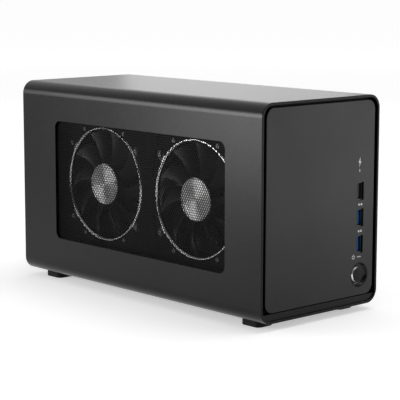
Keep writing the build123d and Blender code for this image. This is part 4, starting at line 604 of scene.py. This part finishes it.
def floor_material():
    material = bpy.data.materials.new("floor")
    material.use_nodes = True
    tree = material.node_tree
    tree.nodes.remove(tree.nodes["Principled BSDF"])
    diffuse = tree.nodes.new("ShaderNodeBsdfDiffuse")
    diffuse.inputs["Color"].default_value = (*grey(FLOOR_TONE), 1)
    place = object_place(tree)
    glow = span(tree, length(tree, place), FLOOR_NEAR_GLOW, FLOOR_FAR_GLOW, FLOOR_NEAR, FLOOR_FAR)
    reach = along(tree, place, FLOOR_DIM_SIDE)
    dim = span(tree, reach, 1.0, FLOOR_DIM_LEVEL, FLOOR_DIM_START, FLOOR_DIM_END)
    emission = tree.nodes.new("ShaderNodeEmission")
    _, from_any = shown_rays(tree)
    tree.links.new(product(tree, product(tree, glow, dim), from_any), emission.inputs["Strength"])
    both = add_node(tree, "ShaderNodeAddShader", [diffuse.outputs["BSDF"], emission.outputs["Emission"]])
    tree.links.new(both.outputs["Shader"], tree.nodes["Material Output"].inputs["Surface"])
    return material


floor_mesh = bpy.data.meshes.new("floor")
floor_corners = [(x * FLOOR_REACH, y * FLOOR_REACH, 0) for x, y in ((-1, -1), (1, -1), (1, 1), (-1, 1))]
floor_mesh.from_pydata(floor_corners, [], [(0, 1, 2, 3)])
floor_mesh.materials.append(floor_material())
floor = link("floor", floor_mesh)

# White surroundings with a brighter ceiling and a dimmer side behind the camera
AMBIENT_LEVEL = 0.40
SURROUND_LEVEL = 0.6
CEILING_LEVEL = 1.0
CEILING_START = 0.35
CEILING_END = 0.6
DIM_SIDE = (-0.67, -0.74, 0)
DIM_START = 0.1
DIM_END = 0.8
DIM_LEVEL = 0.1


def add_world():
    world = bpy.data.worlds.new("studio")
    scene.world = world
    world.use_nodes = True
    tree = world.node_tree
    background = tree.nodes["Background"]
    background.inputs["Color"].default_value = (1, 1, 1, 1)
    direction = tree.nodes.new("ShaderNodeTexCoord").outputs["Generated"]
    side = span(tree, along(tree, direction, DIM_SIDE), 1.0, DIM_LEVEL, DIM_START, DIM_END)
    height = along(tree, direction, UP)
    ceiling = span(tree, height, SURROUND_LEVEL, CEILING_LEVEL, CEILING_START, CEILING_END)
    from_camera, from_any = shown_rays(tree)
    level = add_node(tree, "ShaderNodeMapRange", [from_any])
    level.inputs["To Min"].default_value = AMBIENT_LEVEL
    tree.links.new(larger(tree, from_camera, product(tree, ceiling, side)), level.inputs["To Max"])
    tree.links.new(level.outputs["Result"], background.inputs["Strength"])


add_world()


# Soft lamps
def lamp(name, place, target, size, power):
    data = bpy.data.lights.new(name, "AREA")
    data.shape = "RECTANGLE"
    data.size, data.size_y = size
    data.energy = power
    obj = link(name, data)
    obj.location = place
    obj.visible_camera = False
    obj.rotation_euler = (Vector(target) - Vector(place)).to_track_quat("-Z", "Y").to_euler()


lamp("overhead", place=(0.4, -0.3, 1.9), target=(0, 0, 0.08), size=(1.2, 1.2), power=11)
lamp("left_box", place=(-0.74, 0.40, 0.155), target=(-0.06, -0.14, 0.12), size=(0.40, 0.29), power=2.0)
lamp("right_box", place=(1.20, 1.19, 0.30), target=(0, 0, 0.16), size=(0.45, 0.5), power=0.6)
lamp("right_high", place=(0.98, 1.25, 0.85), target=(0, 0, 0.16), size=(0.5, 0.35), power=0.55)
lamp("front_box", place=(0.76, -0.70, 0.15), target=(0.06, -0.14, 0.08), size=(0.45, 0.26), power=0.25)
lamp("front_left", place=(-0.30, -1.10, 0.12), target=(0.04, -0.14, 0.03), size=(0.3, 0.3), power=0.35)
lamp("front_pool", place=(0.56, -0.60, 0.15), target=(0.55, -0.59, 0), size=(0.5, 0.5), power=1.9)
lamp("back_left", place=(-1.30, 1.25, 0.45), target=(-0.06, 0.05, 0.15), size=(0.7, 0.5), power=7)

scene.view_settings.view_transform = "Standard"
